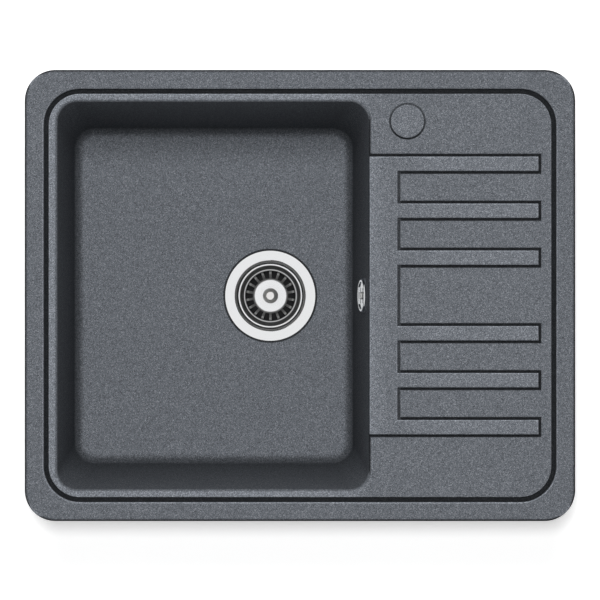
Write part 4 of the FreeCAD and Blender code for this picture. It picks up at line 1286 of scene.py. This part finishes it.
@dataclass
class Studio:
    """White ground, soft lamps and the camera straight above the sink."""

    camera_height: float = 3.0
    view_width: float = 0.664
    view_centre_y: float = -0.005
    ground_reach: float = 12.0
    ground_lift: float = 0.48
    ground_fade: Pair = (0.7, 2.4)
    ground_white: str = "#f4f4f4"
    ground_bounce: str = "#6a6a6a"
    ground_roughness: float = 0.9
    view_reach: float = 48.0
    ambient: float = 0.06
    lamps: Sequence[Lamp] = (
        Lamp("key", (-0.02, 0.1, 3.0), width=0.24, height=0.24, level=0.46),
        Lamp("back_key", (-0.1, 1.08, 3.6), width=0.8, height=0.8, level=0.42),
        fill_lamp("front", 0.0, -1.0),
        fill_lamp("back", 0.0, 1.0),
        fill_lamp("left", -1.0, 0.0),
        fill_lamp("right", 1.0, 0.0),
    )

    def build(self) -> None:
        """Set up camera, ground and surround."""
        scene = bpy.context.scene
        scene.view_settings.view_transform = "Standard"
        self.make_camera(scene)
        self.make_ground()
        self.make_world(scene)

    def dress(self) -> None:
        """Hang the lamps."""
        for lamp in self.lamps:
            lamp.build()

    def make_camera(self, scene: Scene) -> None:
        """Stand the camera above the sink, looking straight down.

        Args:
            scene: The scene that gets the camera.
        """
        lens = bpy.data.cameras.new("camera")
        lens.lens = lens.sensor_width * self.camera_height / self.view_width
        lens.clip_end = self.view_reach
        camera = in_scene("camera", lens)
        camera.location = (0.0, self.view_centre_y, CAD_BOX[1].z + self.camera_height)
        scene.camera = camera

    def white_rays(self, tree: NodeTree) -> NodeSocket:
        """Find the rays that see the ground and the surround as plain white.

        Args:
            tree: The node tree that needs to know.

        Returns:
            A socket that is one for such a ray and zero for others.
        """
        path = add_node(tree, "ShaderNodeLightPath")
        found = path.outputs[RayKind.CAMERA.value]
        for kind in (RayKind.GLOSSY, RayKind.TRANSMISSION):
            found = reckon(tree, "MAXIMUM", found, path.outputs[kind.value])
        return found

    def make_ground(self) -> None:
        """Lay a white ground under the sink that throws little light back at it."""
        low = CAD_BOX[0].z
        reach = self.ground_reach
        mesh = bpy.data.meshes.new("ground")
        plan = ((-reach, -reach), (reach, -reach), (reach, reach), (-reach, reach))
        mesh.from_pydata([(x, y, low) for x, y in plan], [], [(0, 1, 2, 3)])
        paper = bpy.data.materials.new("white_studio_paper")
        paper.use_nodes = True
        tree = paper.node_tree
        shader = tree.nodes["Principled BSDF"]
        shader.inputs["Roughness"].default_value = self.ground_roughness
        shader.inputs["Emission Color"].default_value = linear(WHITE)
        white = self.white_rays(tree)
        colour = mix(tree, white, linear(self.ground_bounce), linear(self.ground_white))
        tree.links.new(colour, shader.inputs["Base Color"])
        place = add_node(tree, "ShaderNodeTexCoord").outputs["Object"]
        away = add_node(tree, "ShaderNodeVectorMath", {0: place}, operation="LENGTH")
        # The lamps don't reach far, so the paper's own white takes over away from the sink.
        lift = between(tree, away.outputs["Value"], self.ground_lift, 1.0, self.ground_fade)
        glow = reckon(tree, "MULTIPLY", white, lift)
        tree.links.new(glow, shader.inputs["Emission Strength"])
        mesh.materials.append(paper)
        in_scene("ground", mesh)

    def make_world(self, scene: Scene) -> None:
        """Give an even white surround that lights the object only a little.

        Args:
            scene: The scene that gets the surround.
        """
        world = bpy.data.worlds.new("studio")
        world.use_nodes = True
        tree = world.node_tree
        strength = between(tree, self.white_rays(tree), self.ambient, 1.0)
        sky = tree.nodes["Background"]
        sky.inputs["Color"].default_value = linear(WHITE)
        tree.links.new(strength, sky.inputs["Strength"])
        scene.world = world


def main() -> None:
    """Build and dress every sub-assembly and the studio."""
    logging.basicConfig(level=logging.INFO, format="%(name)s: %(message)s")
    for assembly in (Casting(), StrainerWaste(), Basket(), Overflow(), WorktopClips(), Studio()):
        assembly.build()
        assembly.dress()
        LOG.info("%s is done", type(assembly).__name__)


if __name__ == "__main__":
    main()
